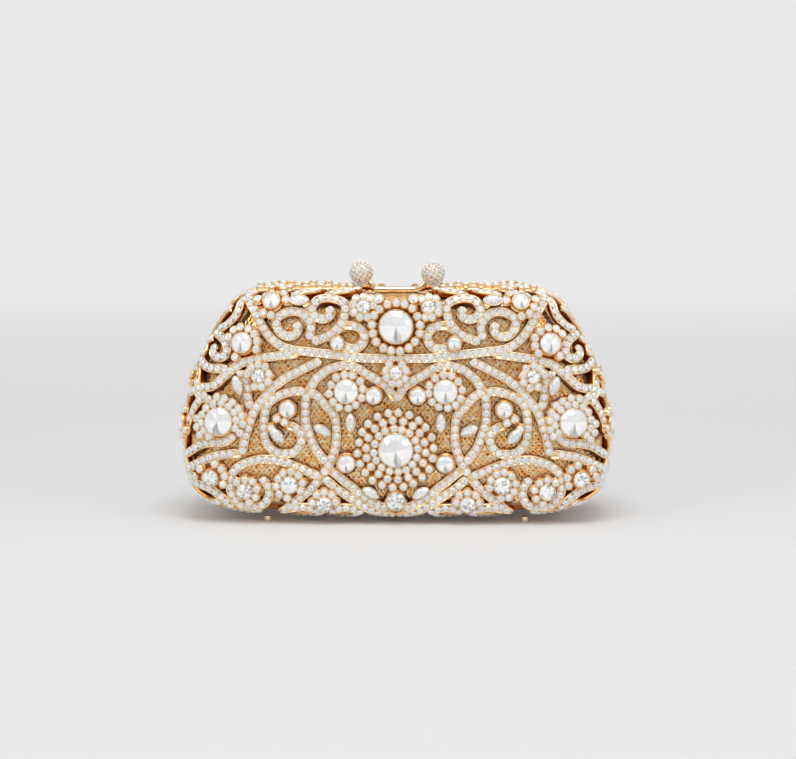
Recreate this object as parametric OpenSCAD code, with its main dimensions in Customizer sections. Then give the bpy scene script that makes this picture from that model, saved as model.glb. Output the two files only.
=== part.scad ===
// Openwork minaudiere: a hard evening case in two hinged half shells, each a framed tray of
// gold mesh under an openwork cage of scrolls set with crystals, shut by a two-ball clasp.
// The front half is drawn, and the rear half is the same half turned round the upright axis.

/* [Case] */
// Width of the case at its widest level
case_w = 183; // [170:1:196]
// Thickness of the shut case at its widest level
case_d = 56; // [50:1:64]
// Height of the top of the case above the table
case_h = 98.5; // [92:0.5:106]
// Height of the widest level above the table
widest_z = 33; // [29:1:38]
// How much each side draws in from the widest level to the top
side_lean = 25.5; // [20:0.5:30]
// How much each face draws in from the widest level to the top
face_lean = 8; // [5:0.5:9]
// How far each face is bowed out in the middle
face_bow = 1.5; // [0:0.1:2.5]
// Gap between the table and the underside of the cage
ground_gap = 1.6; // [1.4:0.1:2.4]

/* [Layers] */
// Width of a scroll band of the cage
band_w = 3.8; // [3.2:0.1:4.4]
// Fall of a band's edges below the ridge where its row of small crystals stands
band_fall = 0.5; // [0.3:0.05:0.7]
// Depth of the cage's bands, seats and cups
cage_t = 3; // [2.6:0.1:3.2]
// Space between the cage and the mesh tray
mesh_gap = 0.6; // [0.4:0.1:1]
// Wall of the mesh tray
mesh_t = 1.2; // [0.9:0.1:1.4]
// Space between the mesh tray and the lining
lining_gap = 0.2; // [0.15:0.05:0.4]
// Thickness of the lining tray
lining_t = 1; // [0.8:0.1:1.2]

/* [Frame] */
// Gap between each half frame and the parting plane
parting_gap = 0.15; // [0.1:0.05:0.25]
// Thickness of a half frame's flange
flange_t = 2.05; // [1.9:0.05:2.4]
// Depth of the flange's outer edge under the cage's surface
flange_inset = 2; // [1.8:0.1:2.4]
// Space between the flange and the edges of the cage and trays
seat_gap = 0.2; // [0.1:0.05:0.3]
// Space between the lining and the frame's inner lip
lip_gap = 0.35; // [0.3:0.05:0.5]
// Thickness of the frame's inner lip
lip_t = 0.8; // [0.6:0.1:1]
// How far the inner lip reaches into the tray, behind the flange
lip_reach = 3.4; // [2:0.1:3.5]

/* [Hinges] */
// Distance of each hinge from the middle of the case
hinge_x = 38; // [30:1:44]
// Height of the hinge axis above the cage's underside
hinge_rise = 1.8; // [1.7:0.1:2]
// Length of a hinge over its three knuckles
hinge_l = 14; // [11:0.5:17]
// Radius of a knuckle
knuckle_r = 1.6; // [1.4:0.05:1.65]
// Radius of a hinge pin
pin_r = 0.75; // [0.6:0.05:0.85]
// Radial play of a pin in its knuckles
pin_play = 0.05; // [0.03:0.01:0.08]
// Radius of a pin's peened head
head_r = 1.1; // [1:0.05:1.3]
// Thickness of a pin's peened head
head_t = 0.5; // [0.4:0.1:0.8]
// Gap between neighbouring knuckles
knuckle_gap = 0.2; // [0.15:0.05:0.3]
// Thickness of a hinge leaf
leaf_t = 0.7; // [0.5:0.05:0.8]
// Height of a hinge leaf above the hinge axis
leaf_h = 4.6; // [4:0.1:5]
// Play of a leaf in its pocket
leaf_play = 0.06; // [0.04:0.01:0.1]

/* [Clasp] */
// Radius of a clasp ball
ball_r = 5.25; // [4.5:0.05:5.4]
// Distance of each ball's centre from the middle of the case
ball_x = 15.3; // [14.6:0.1:17]
// Height of a ball's centre above the top of the case
ball_rise = 5.6; // [5.55:0.05:6.5]
// Radius of a clasp horn
horn_r = 1.2; // [1:0.05:1.25]
// Distance from the middle to where a horn starts to bend up
bend_x = 6.5; // [5.5:0.1:7]
// Angle that a horn's end makes with the level
bend_angle = 51; // [46:1:55]
// Distance from the middle to a horn's root
root_x = 9; // [8:0.1:10]
// Radius of a horn's peg in the frame
peg_r = 0.6; // [0.5:0.05:0.65]
// Length of a horn's peg in the frame
peg_l = 2.2; // [1.6:0.1:2.6]
// Distance from the middle to a horn's peg
peg_x = 6.6; // [5.8:0.1:7.4]
// Radius of a horn's stem inside its ball
stem_r = 0.9; // [0.7:0.05:0.95]
// Length of a horn's stem inside its ball
stem_l = 3; // [2:0.1:3.4]
// Gap round a horn, to the saddle, the parting plane and the ball
horn_gap = 0.1; // [0.06:0.02:0.14]
// Half width of the saddle that leaves room for the horns
saddle_x = 13.5; // [13:0.1:14.2]
// Depth of the saddle under the top of the case
saddle_drop = 2.8; // [2.6:0.1:3]

/* [Feet] */
// Radius of a foot
foot_r = 1.6; // [1.3:0.1:2]
// Height of a foot
foot_h = 2.2; // [1.9:0.1:2.6]
// Distance of each foot from the middle of the case
foot_x = 54.5; // [50:0.5:58]
// Distance of each foot from the parting plane
foot_y = 18; // [16:0.5:20]
// Rim of the foot's pad round the foot
pad_rim = 0.6; // [0.4:0.1:1]

/* [Crystals] */
// Radius of the largest crystal, in the middle of a face
main_r = 7.1; // [6:0.1:7.6]
// Height of a round crystal, as a share of its radius
crown_share = 0.42; // [0.3:0.02:0.5]
// Half length of a pointed crystal
navette_l = 4.1; // [3.6:0.1:4.6]
// Half width of a pointed crystal
navette_w = 2.1; // [1.8:0.1:2.3]
// Wall of a cup round its crystal
cup_rim = 0.35; // [0.25:0.05:0.4]
// Height of a cup's wall above its plate
cup_rise = 0.7; // [0.4:0.05:1]
// Gap between a crystal and its cup
stone_gap = 0.08; // [0.05:0.01:0.12]
// Width of a ring of small settings round a crystal
halo_w = 3.3; // [2.6:0.1:3.3]
// Thickness of a setting's plate
plate_t = 1; // [0.8:0.1:1.4]
// Gap between a setting's plate and the bands under it
plate_gap = 0.2; // [0.18:0.01:0.25]
// Radius of the post that carries a setting where no band passes under it
post_r = 1; // [0.8:0.1:1.2]
// Radius of the holes in a wide setting's plate
hole_r = 0.8; // [0.6:0.1:1]

/* [Hidden] */
$fn = 48;
half_w = case_w / 2;
half_d = case_d / 2;
face_h = case_h - ground_gap;
mesh_inset = cage_t + mesh_gap;
lining_inset = mesh_inset + mesh_t + lining_gap;
lining_inner = lining_inset + lining_t;
lip_inset = lining_inner + lip_gap;
flange_inner = lip_inset + lip_t;
flange_back = parting_gap + flange_t;
lip_back = flange_back + lip_reach;
edge_y = flange_back + seat_gap;
hinge_z = ground_gap + hinge_rise;
bore_r = pin_r + pin_play;
knuckle_l = (hinge_l - 2 * knuckle_gap) / 3;
notch_z = hinge_z + knuckle_r + knuckle_gap;
notch_x = hinge_l / 2 + head_t + knuckle_gap;
leaf_z = hinge_z + knuckle_r / 2 + knuckle_gap / 2;
saddle_z = case_h - saddle_drop;
horn_z = saddle_z + horn_gap + horn_r;
horn_y = parting_gap + horn_gap + horn_r;
ball_z = case_h + ball_rise;
peg_y = parting_gap + flange_t / 2;
bend_dx = ball_x - bend_x;
bend_dz = ball_z - horn_z;
bend_r = (bend_dx * sin(bend_angle) - bend_dz * cos(bend_angle)) / (1 - cos(bend_angle));
bend_l = (bend_dx - bend_r * sin(bend_angle)) / cos(bend_angle);
overrun = 1;
probe = case_w / 9150;
ray_far = norm([half_w, case_h]);

// Shape of the case: a superellipse outline that leans in towards the top, under faces that
// round over to the parting plane, sharply at the underside and softly at the sides.
side_power = 7;
bow_share = 0.13;
lean_power = 2.1;
face_lean_power = 1.5;
top_power = 40;
foot_power = 3;
round_power = 3;
side_round = 2;
top_round = 1;
foot_round = 6;

// Directions from the middle of the face at which the trays and frames have their corners
ray_angles = [-90, -55, -33, -24, -18.5, -14, -8, 0, 10, 20, 29, 36, 41, 44.5, 49, 62, 90];
// Depths of a tray's rings, as shares of its half thickness, and its innermost ring's reach
level_shares = [0.5, 0.78, 0.92, 0.98];
inner_share = 0.55;

// Scrolls of one side of a face, as shares of the half width and of the height of the case
border_shares = [[0.685, 0.975], [0.65, 0.905], [0.612, 0.835], [0.565, 0.783], [0.497, 0.75],
    [0.395, 0.737], [0.265, 0.724], [0.143, 0.711], [0, 0.711]];
curl_a_shares = [[0.43, 0.74], [0.385, 0.765], [0.306, 0.807], [0.245, 0.868], [0.231, 0.92],
    [0.256, 0.957], [0.31, 0.97], [0.365, 0.955], [0.388, 0.915], [0.367, 0.892], [0.325, 0.888]];
curl_b_shares = [[0.43, 0.74], [0.395, 0.785], [0.388, 0.843], [0.415, 0.89], [0.465, 0.911],
    [0.514, 0.902], [0.548, 0.872], [0.535, 0.83], [0.49, 0.81], [0.46, 0.835]];
curl_c_shares = [[0.306, 0.807], [0.245, 0.845], [0.19, 0.848], [0.149, 0.819], [0.146, 0.784],
    [0.185, 0.752], [0.24, 0.763]];
slant_shares = [[0.685, 0.975], [0.71, 0.945], [0.766, 0.888], [0.838, 0.83]];
hook_shares = [[0.838, 0.83], [0.8, 0.793], [0.787, 0.747], [0.811, 0.724], [0.848, 0.724]];
hook_back_shares = [[0.838, 0.83], [0.882, 0.774], [0.92, 0.708]];
under_hook_shares = [[0.92, 0.708], [0.887, 0.681], [0.847, 0.668], [0.771, 0.653]];
sweep_shares = [[0.965, 0.56], [0.914, 0.575], [0.845, 0.589], [0.794, 0.628], [0.736, 0.671],
    [0.678, 0.694], [0.61, 0.71], [0.534, 0.722], [0.445, 0.73]];
long_s_shares = [[0.343, 0.72], [0.436, 0.658], [0.534, 0.604], [0.589, 0.555], [0.636, 0.501],
    [0.668, 0.438], [0.694, 0.362], [0.706, 0.28]];
low_arc_shares = [[0.69, 0.27], [0.777, 0.291], [0.852, 0.276], [0.92, 0.246], [0.98, 0.205]];
short_bar_shares = [[0.724, 0.68], [0.682, 0.582], [0.66, 0.46]];
side_arc_shares = [[0.985, 0.28], [0.92, 0.329], [0.841, 0.342], [0.771, 0.353], [0.7, 0.4]];
loop_a_shares = [[0.417, 0.559], [0.478, 0.565], [0.535, 0.548], [0.58, 0.519], [0.603, 0.453],
    [0.603, 0.388], [0.572, 0.315], [0.515, 0.295], [0.46, 0.305], [0.432, 0.361],
    [0.455, 0.408], [0.51, 0.421]];
bar_shares = [[0.408, 0.56], [0.415, 0.453], [0.395, 0.385], [0.367, 0.315], [0.32, 0.235]];
loop_b_shares = [[0.403, 0.568], [0.34, 0.529], [0.287, 0.473], [0.272, 0.403], [0.275, 0.331],
    [0.299, 0.264], [0.338, 0.19]];
arch_shares = [[0.408, 0.55], [0.385, 0.592], [0.337, 0.642], [0.268, 0.674], [0.197, 0.674],
    [0.132, 0.641], [0.067, 0.605], [0.03, 0.575], [0, 0.528]];
loop_c_shares = [[0.335, 0.19], [0.419, 0.224], [0.487, 0.25], [0.586, 0.27], [0.658, 0.263],
    [0.722, 0.237], [0.76, 0.184], [0.757, 0.118], [0.709, 0.062], [0.645, 0.056],
    [0.595, 0.09], [0.582, 0.132], [0.6, 0.17], [0.635, 0.192]];
diagonal_shares = [[0.33, 0.215], [0.399, 0.132], [0.467, 0.079], [0.53, 0.03]];
cross_a_shares = [[0.335, 0.2], [0.248, 0.128], [0.156, 0.072], [0.08, 0.025]];
cross_b_shares = [[0.33, 0.24], [0.262, 0.197], [0.18, 0.132], [0.119, 0.092], [0, 0.03]];
low_border_shares = [[0.97, 0.19], [0.92, 0.147], [0.85, 0.123], [0.789, 0.071], [0.74, 0.03]];
foot_arc_a_shares = [[0.53, 0.03], [0.46, 0.055], [0.4, 0.055], [0.33, 0.03]];
foot_arc_b_shares = [[0.33, 0.03], [0.26, 0.055], [0.19, 0.055], [0.12, 0.05]];
scrolls = [border_shares, curl_a_shares, curl_b_shares, curl_c_shares, slant_shares,
    hook_shares, hook_back_shares, under_hook_shares, sweep_shares, long_s_shares,
    low_arc_shares, short_bar_shares, side_arc_shares, loop_a_shares, bar_shares,
    loop_b_shares, arch_shares, loop_c_shares, diagonal_shares, cross_a_shares,
    cross_b_shares, low_border_shares, foot_arc_a_shares, foot_arc_b_shares];

// Wall scrolls: each goes from the edge band to the face at one place on the run from the
// underside to the top, and swings along the run by the share given for each of its depths
run_angle_shares = [[0, -90], [0.16, -37.8], [0.3, -21.1], [0.36, -12], [0.44, 0], [0.53, 13.7],
    [0.615, 27], [0.685, 38], [0.73, 44.8], [0.84, 58.6], [0.92, 73], [1, 90]];
edge_run_shares = [0, 0.16, 0.26, 0.31, 0.345, 0.38, 0.42, 0.48, 0.55, 0.62, 0.68, 0.72, 0.745,
    0.79, 0.94];
wall_run_shares = [0.04, 0.11, 0.165, 0.28, 0.34, 0.4, 0.55, 0.61, 0.67, 0.725, 0.78, 0.84, 0.9];
wall_depth_shares = [0.17, 0.35, 0.54, 0.74, 0.92];
wall_swing_shares = [-0.02, 0.015, 0.02, -0.014, -0.02];

// Crystals: place as shares of the half width and the height, then radius as a share of the
// largest crystal's, then the small settings in a ring round it, then the rings' count
centre_stone_shares = [[0, 0.315, 1, 20, 2], [0, 0.845, 0.97, 16, 1], [0, 0.648, 0.48, 9, 1],
    [0, 0.092, 0.54, 0, 0]];
large_stone_shares = [[0.821, 0.43, 0.87, 16, 1], [0.227, 0.568, 0.69, 12, 0.8],
    [0.706, 0.772, 0.63, 11, 1]];
round_stone_shares = [[0.57, 0.95, 0.5, 9, 0.8], [0.101, 0.549, 0.45, 0, 0],
    [0.497, 0.49, 0.45, 0, 0], [0.227, 0.256, 0.5, 0, 0], [0.268, 0.775, 0.37, 0, 0]];
rosette_stone_shares = [[0.63, 0.631, 0.42, 8, 1], [0.852, 0.188, 0.45, 8, 1],
    [0.695, 0.132, 0.45, 8, 1], [0.49, 0.161, 0.5, 9, 1], [0.33, 0.077, 0.46, 8, 1],
    [0.149, 0.93, 0.39, 8, 0.75]];
// Pointed crystals: place, then size as a share of the full size, then tilt in degrees
navette_shares = [[0.446, 0.955, 1, 0], [0.207, 0.434, 0.9, 90], [0.337, 0.401, 0.88, 25],
    [0.115, 0.128, 0.88, 30], [0.545, 0.378, 0.95, 45], [0.726, 0.592, 0.93, 70]];
// Crystal on the wall at each side: place on the run, depth, radius, settings and rings
wall_stone_share = [0.475, 0.5, 0.5, 9, 0.8];
// Profile of a round crystal: its foot and its table as shares of its radius, then the lower and
// upper edges of its girdle as shares of its height
foot_share = 0.8;
table_share = 0.62;
girdle_shares = [0.4, 0.5];

function unit(v) = v / norm(v);
function last(list) = list[len(list) - 1];

// Root of a rising function between two limits
function solve(f, low, high, steps = 26) =
    let (mid = (low + high) / 2)
    steps == 0 ? mid
    : f(mid) < 0 ? solve(f, mid, high, steps - 1) : solve(f, low, mid, steps - 1);

// Rise from the widest level to the top, or fall to the underside, from 0 to 1
function rise(z, inset) =
    z > widest_z ? (z - widest_z) / (case_h - inset - widest_z)
    : (widest_z - z) / (widest_z - ground_gap - inset);
function half_width(z, inset) =
    max(probe, half_w - inset - (z > widest_z ? side_lean * pow(rise(z, inset), lean_power) : 0));
function half_depth(x, z, inset) =
    max(probe, half_d - inset - face_bow * pow(x / half_width(z, inset), 2)
        - (z > widest_z ? face_lean * pow(rise(z, inset), face_lean_power) : 0));

// Nearness to the outline, from 0 in the middle of the face to 1 at the parting plane
function cover(x, z, inset) =
    let (across = abs(x) / half_width(z, inset), top = z > widest_z, up = rise(z, inset))
    let (mix = (1 - bow_share) * pow(across, side_power) + bow_share * pow(across, 2)
        + pow(up, top ? top_power : foot_power))
    pow(mix, side_round + ((top ? top_round : foot_round) - side_round) * min(1, up));
function excess(x, y, z, inset) =
    cover(x, z, inset) + pow(abs(y) / half_depth(x, z, inset), round_power) - 1;
function normal_at(p) =
    unit([for (axis = [[1, 0, 0], [0, 1, 0], [0, 0, 1]])
        let (a = p + probe * axis, b = p - probe * axis)
        excess(a.x, a.y, a.z, 0) - excess(b.x, b.y, b.z, 0)]);

// Point of the front half's surface in one direction, at a depth or at a share of the thickness
function at_depth(angle, y, inset) =
    let (r = solve(function (r)
        excess(r * cos(angle), y, widest_z + r * sin(angle), inset), 0, ray_far))
    [r * cos(angle), -y, widest_z + r * sin(angle)];
function at_level(angle, level, inset, reach = 1) =
    let (r = reach * solve(function (r)
        cover(r * cos(angle), widest_z + r * sin(angle), inset) - 1 + pow(level, round_power),
        0, ray_far))
    surface_at(r * cos(angle), widest_z + r * sin(angle), inset);
function surface_at(x, z, inset) =
    [x, -half_depth(x, z, inset) * pow(max(0, 1 - cover(x, z, inset)), 1 / round_power), z];
function face_at(share) =
    let (x = share[0] * half_w, z = ground_gap + share[1] * face_h, y = edge_y + band_w / 2)
    excess(x, y, z, 0) < 0 ? surface_at(x, z, 0) : at_depth(atan2(z - widest_z, x), y, 0);
function run_at(run, level) = at_level(lookup(run, run_angle_shares), level, 0);

// Directions all the way round, for the trays, and with half steps, for the frames
function all_rays() =
    concat(ray_angles, [for (i = [len(ray_angles) - 2 : -1 : 1]) 180 - ray_angles[i]]);
function fine_rays() =
    let (rays = all_rays(), n = len(rays))
    [for (i = [0 : n - 1]) each [rays[i], (rays[i] + (i == n - 1 ? rays[0] + 360 : rays[i + 1])) / 2]];

// Rings of points of a tray's wall, from its edge to its innermost ring
function tray_rings(inset) =
    let (rays = all_rays())
    concat([[for (angle = rays) at_depth(angle, edge_y, inset)]],
        [for (level = level_shares) [for (angle = rays) at_level(angle, level, inset)]],
        [[for (angle = rays) at_level(angle, last(level_shares), inset, inner_share)]]);

// Dished tray between two insets of the case's surface, open at the parting plane
module tray(outer, inner) {
    rays = len(all_rays());
    rings = len(level_shares) + 2;
    points = concat([for (ring = tray_rings(outer)) each ring], [surface_at(0, widest_z, outer)],
        [for (ring = tray_rings(inner)) each ring], [surface_at(0, widest_z, inner)]);
    wall = rays * rings + 1;
    faces = [
        for (side = [0, 1]) for (ring = [0 : rings - 2]) for (ray = [0 : rays - 1])
            let (a = side * wall + ring * rays + ray, b = side * wall + ring * rays + (ray + 1) % rays)
            each side == 0 ? [[a, a + rays, b], [b, a + rays, b + rays]]
                : [[a, b, a + rays], [b, b + rays, a + rays]],
        for (side = [0, 1]) for (ray = [0 : rays - 1])
            let (base = side * wall + (rings - 1) * rays, a = base + ray, b = base + (ray + 1) % rays)
            side == 0 ? [a, base + rays, b] : [a, b, base + rays],
        for (ray = [0 : rays - 1])
            let (next = (ray + 1) % rays)
            each [[ray, next, wall + ray], [next, wall + next, wall + ray]]
    ];
    polyhedron(points, faces);
}

// Band along points of the surface: ridged on top, and drawn in to a keel underneath
module band(path) {
    n = len(path);
    points = [
        for (i = [0 : n - 1])
            let (p = path[i], up = normal_at(p))
            let (along = path[min(i + 1, n - 1)] - path[max(i - 1, 0)])
            let (side = unit(cross(along, up)) * band_w / 2, fall = up * band_fall)
            each [p - side - fall, p, p + side - fall, p - up * cage_t]
    ];
    ends = 4 * (n - 1);
    faces = concat([[0, 1, 3], [1, 2, 3], [ends, ends + 3, ends + 1], [ends + 1, ends + 3, ends + 2]],
        [for (i = [0 : n - 2]) for (j = [0 : 3])
            let (a = 4 * i + j, b = 4 * i + (j + 1) % 4)
            each [[a, a + 4, b], [b, a + 4, b + 4]]]);
    polyhedron(points, faces);
}

// Stands its children on the surface at a point, with +Z along the outward normal
module on_surface(p) {
    up = normal_at(p);
    translate(p) rotate([0, acos(up.z), atan2(up.y, up.x)]) children();
}

module both_sides() {
    children();
    mirror([1, 0, 0]) children();
}

// Middle lines of the cage's bands: on the face, on the wall, and through a foot's pad
function face_lines() = [for (path = scrolls) [for (share = path) face_at(share)]];
function wall_lines() =
    [for (run = wall_run_shares) [for (i = [0 : len(wall_depth_shares) - 1])
        run_at(run + wall_swing_shares[i], wall_depth_shares[i])]];
function foot_line() =
    [for (level = wall_depth_shares) at_level(atan2(foot_h - widest_z, foot_x), level, 0)];
function edge_line() =
    [for (run = edge_run_shares)
        at_depth(lookup(run, run_angle_shares), edge_y + band_w / 2, 0)];

// Length of the way from a point to the nearest middle line on the face or the wall
function off_bands(p) =
    min([for (path = concat(face_lines(), wall_lines(), [foot_line()]))
        for (i = [0 : len(path) - 2])
        let (a = path[i], b = path[i + 1])
        let (along = max(0, min(1, (p - a) * (b - a) / ((b - a) * (b - a)))))
        norm(p - a - along * (b - a))]);

// Scalloped plate under a crystal and the rings of small settings round it
module setting_plate(r, count, rings) {
    tip = r + halo_w * rings;
    difference() {
        linear_extrude(plate_t) polygon([for (i = [0 : 2 * count - 1])
            let (reach = i % 2 == 0 ? tip : tip - hole_r)
            [reach * cos(180 * i / count), reach * sin(180 * i / count)]]);
        if (rings > 1) for (i = [0 : count / 2 - 1])
            rotate([0, 0, 720 * i / count]) translate([r + halo_w, 0, -plate_t / 2])
                cylinder(r = hole_r, h = plate_t * 2);
    }
}

// Post from a setting down to the mesh tray
module setting_post() {
    translate([0, 0, -mesh_inset]) cylinder(r = post_r, h = mesh_inset + plate_t / 2);
}

module round_setting(p, share, count, rings) {
    r = main_r * share;
    on_surface(p) translate([0, 0, plate_gap]) {
        difference() {
            union() {
                if (count > 0) setting_plate(r, count, rings);
                cylinder(r = r + stone_gap + cup_rim, h = plate_t + cup_rise);
            }
            translate([0, 0, plate_t]) cylinder(r = r + stone_gap, h = plate_t + cup_rise);
        }
        if (off_bands(p) > post_r + band_w / 2 + seat_gap) setting_post();
    }
}

// Round crystal: a short pavilion under its girdle, then the crown up to its table
module crystal(p, share) {
    r = main_r * share;
    h = r * crown_share;
    on_surface(p) translate([0, 0, plate_gap + plate_t + stone_gap]) rotate_extrude()
        polygon([[0, 0], [r * foot_share, 0], [r, h * girdle_shares[0]],
            [r, h * girdle_shares[1]], [r * table_share, h], [0, h]]);
}

// Pointed oval with a given half length and half width, its top drawn in by a bevel
module pointed_oval(l, w, h, bevel = 0) {
    arc_r = (l * l + w * w) / (2 * w);
    intersection_for(side = [-1, 1])
        translate([0, side * (arc_r - w), 0]) cylinder(r1 = arc_r, r2 = arc_r - bevel, h = h);
}

module on_spot(spot) {
    on_surface(face_at(spot)) rotate([0, 0, spot[3] + 90]) translate([0, 0, plate_gap]) children();
}

module navette_setting(spot) {
    l = navette_l * spot[2] + stone_gap;
    w = navette_w * spot[2] + stone_gap;
    on_spot(spot) {
        difference() {
            pointed_oval(l + cup_rim * 2, w + cup_rim, plate_t + cup_rise);
            translate([0, 0, plate_t]) pointed_oval(l, w, plate_t + cup_rise);
        }
        if (off_bands(face_at(spot)) > post_r + band_w / 2 + seat_gap) setting_post();
    }
}

module navette_crystal(spot) {
    l = navette_l * spot[2];
    w = navette_w * spot[2];
    on_spot(spot) translate([0, 0, plate_t + stone_gap]) {
        pointed_oval(l, w, w * crown_share);
        translate([0, 0, w * crown_share]) pointed_oval(l, w, w * crown_share, w * crown_share);
    }
}

// Openwork cage of one half
module cage() {
    edge = edge_line();
    mirrored = [for (i = [len(edge) - 1 : -1 : 1]) [-edge[i].x, edge[i].y, edge[i].z]];
    difference() {
        union() {
            band(concat(mirrored, edge));
            both_sides() {
                for (path = concat(face_lines(), wall_lines(), [foot_line()])) band(path);
                translate([foot_x, -foot_y, foot_h + seat_gap / 2])
                    cylinder(r = foot_r + pad_rim, h = cage_t, $fn = 8);
            }
        }
        translate([-half_w, -edge_y, 0]) cube([case_w, half_d, case_h + overrun]);
    }
}

module settings() {
    stone = wall_stone_share;
    both_sides() {
        for (spot = concat(large_stone_shares, round_stone_shares, rosette_stone_shares))
            round_setting(face_at(spot), spot[2], spot[3], spot[4]);
        for (spot = navette_shares) navette_setting(spot);
        round_setting(run_at(stone[0], stone[1]), stone[2], stone[3], stone[4]);
    }
    for (spot = centre_stone_shares) round_setting(face_at(spot), spot[2], spot[3], spot[4]);
}

module pair_crystals(spots) {
    both_sides() for (spot = spots) crystal(face_at(spot), spot[2]);
}

module centre_crystals() {
    for (spot = centre_stone_shares) crystal(face_at(spot), spot[2]);
}

module navette_crystals() {
    both_sides() for (spot = navette_shares) navette_crystal(spot);
}

module side_crystals() {
    stone = wall_stone_share;
    both_sides() crystal(run_at(stone[0], stone[1]), stone[2]);
}

// Plate with the case's outline at a given depth, from one depth back to another
module outline_plate(rays, inset, y, from_y, to_y) {
    translate([0, -from_y, 0]) rotate([90, 0, 0]) linear_extrude(to_y - from_y)
        polygon([for (angle = rays) let (p = at_depth(angle, y, inset)) [p.x, p.z]]);
}

// Half frame: a flange with pockets for the hinge leaves and a saddle for the horns, and a lip
module frame() {
    difference() {
        union() {
            outline_plate(fine_rays(), flange_inset, 0, parting_gap, flange_back);
            outline_plate(all_rays(), lip_inset, lip_back, parting_gap, lip_back);
        }
        outline_plate(all_rays(), flange_inner, lip_back, -overrun, lip_back + overrun);
        for (x = [-hinge_x, hinge_x]) {
            translate([x - notch_x, -flange_back - overrun, -overrun])
                cube([notch_x * 2, flange_back + overrun * 2, notch_z + overrun]);
            translate([x - hinge_l / 2 - leaf_play, -flange_back - overrun, 0])
                cube([hinge_l + leaf_play * 2, leaf_t + leaf_play + overrun,
                    hinge_z + leaf_h + leaf_play]);
        }
        translate([-saddle_x, -flange_back - overrun, saddle_z])
            cube([saddle_x * 2, flange_back + overrun * 2, saddle_drop + overrun]);
        translate([-peg_x, -peg_y, saddle_z - peg_l - horn_gap])
            cylinder(r = peg_r + pin_play, h = peg_l + overrun);
    }
}

// Horn: a bar along the saddle, bent up at its end towards the ball that it carries
module clasp_horn() {
    translate([0, -horn_y, horn_z]) {
        translate([-root_x, 0, 0]) {
            sphere(r = horn_r);
            rotate([0, 90, 0]) cylinder(r = horn_r, h = root_x + bend_x);
        }
        translate([bend_x, 0, bend_r]) rotate([90, 0, 0]) rotate([0, 0, -90])
            rotate_extrude(angle = bend_angle) translate([bend_r, 0]) circle(r = horn_r);
        translate([ball_x, 0, ball_z - horn_z]) rotate([0, 90 - bend_angle, 0]) {
            translate([0, 0, -bend_l]) cylinder(r = horn_r, h = bend_l - ball_r - horn_gap);
            translate([0, 0, -bend_l - horn_gap])
                cylinder(r = stem_r, h = bend_l + horn_gap - ball_r + stem_l);
        }
    }
    translate([-peg_x, -peg_y, saddle_z - peg_l])
        cylinder(r = peg_r, h = peg_l + horn_gap + horn_r);
}

module clasp_ball() {
    translate([ball_x, -horn_y, ball_z]) rotate([0, 90 - bend_angle, 0]) difference() {
        sphere(r = ball_r);
        translate([0, 0, -ball_r - overrun])
            cylinder(r = stem_r + pin_play, h = stem_l + horn_gap + overrun);
    }
}

// Hinge leaf on a half frame, at a distance from the middle, with the knuckles of the given places
module hinge_leaf(x, places) {
    translate([x - hinge_l / 2, 0, 0]) difference() {
        union() {
            translate([0, -flange_back, leaf_z]) cube([hinge_l, leaf_t, hinge_z + leaf_h - leaf_z]);
            for (place = places) translate([place * (knuckle_l + knuckle_gap), 0, hinge_z]) {
                rotate([0, 90, 0]) cylinder(r = knuckle_r, h = knuckle_l);
                translate([0, -flange_back, 0])
                    cube([knuckle_l, flange_back - knuckle_r / 2, notch_z - hinge_z - leaf_play]);
            }
        }
        translate([-overrun, 0, hinge_z]) rotate([0, 90, 0])
            cylinder(r = bore_r, h = hinge_l + 2 * overrun);
    }
}

module hinge_pin(x) {
    translate([x - hinge_l / 2, 0, hinge_z]) rotate([0, 90, 0]) {
        cylinder(r = pin_r, h = hinge_l);
        translate([0, 0, -head_t - pin_play]) cylinder(r = head_r, h = head_t);
        translate([0, 0, -head_t]) cylinder(r = pin_r, h = hinge_l + head_t * 2);
        translate([0, 0, hinge_l + pin_play]) cylinder(r = head_r, h = head_t);
    }
}

module feet() {
    for (x = [-foot_x, foot_x]) translate([x, -foot_y, 0]) cylinder(r = foot_r, h = foot_h);
}

module front() {
    children();
}

module rear() {
    rotate([0, 0, 180]) children();
}

module front_cage() {
    color("goldenrod") front() cage();
}

module rear_cage() {
    color("goldenrod") rear() cage();
}

module front_settings() {
    color("gold") front() settings();
}

module rear_settings() {
    color("gold") rear() settings();
}

module front_mesh_tray() {
    color("peru") front() tray(mesh_inset, mesh_inset + mesh_t);
}

module rear_mesh_tray() {
    color("peru") rear() tray(mesh_inset, mesh_inset + mesh_t);
}

module front_lining() {
    color("darkgoldenrod") front() tray(lining_inset, lining_inner);
}

module rear_lining() {
    color("darkgoldenrod") rear() tray(lining_inset, lining_inner);
}

module front_frame() {
    color("gold") front() frame();
}

module rear_frame() {
    color("gold") rear() frame();
}

module front_centre_crystals() {
    color("whitesmoke") front() centre_crystals();
}

module rear_centre_crystals() {
    color("whitesmoke") rear() centre_crystals();
}

module front_large_crystals() {
    color("whitesmoke") front() pair_crystals(large_stone_shares);
}

module rear_large_crystals() {
    color("whitesmoke") rear() pair_crystals(large_stone_shares);
}

module front_round_crystals() {
    color("white") front() pair_crystals(round_stone_shares);
}

module rear_round_crystals() {
    color("white") rear() pair_crystals(round_stone_shares);
}

module front_rosette_crystals() {
    color("lavender") front() pair_crystals(rosette_stone_shares);
}

module rear_rosette_crystals() {
    color("lavender") rear() pair_crystals(rosette_stone_shares);
}

module front_navette_crystals() {
    color("white") front() navette_crystals();
}

module rear_navette_crystals() {
    color("white") rear() navette_crystals();
}

module front_side_crystals() {
    color("white") front() side_crystals();
}

module rear_side_crystals() {
    color("white") rear() side_crystals();
}

module front_clasp_horn() {
    color("gold") front() clasp_horn();
}

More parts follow.
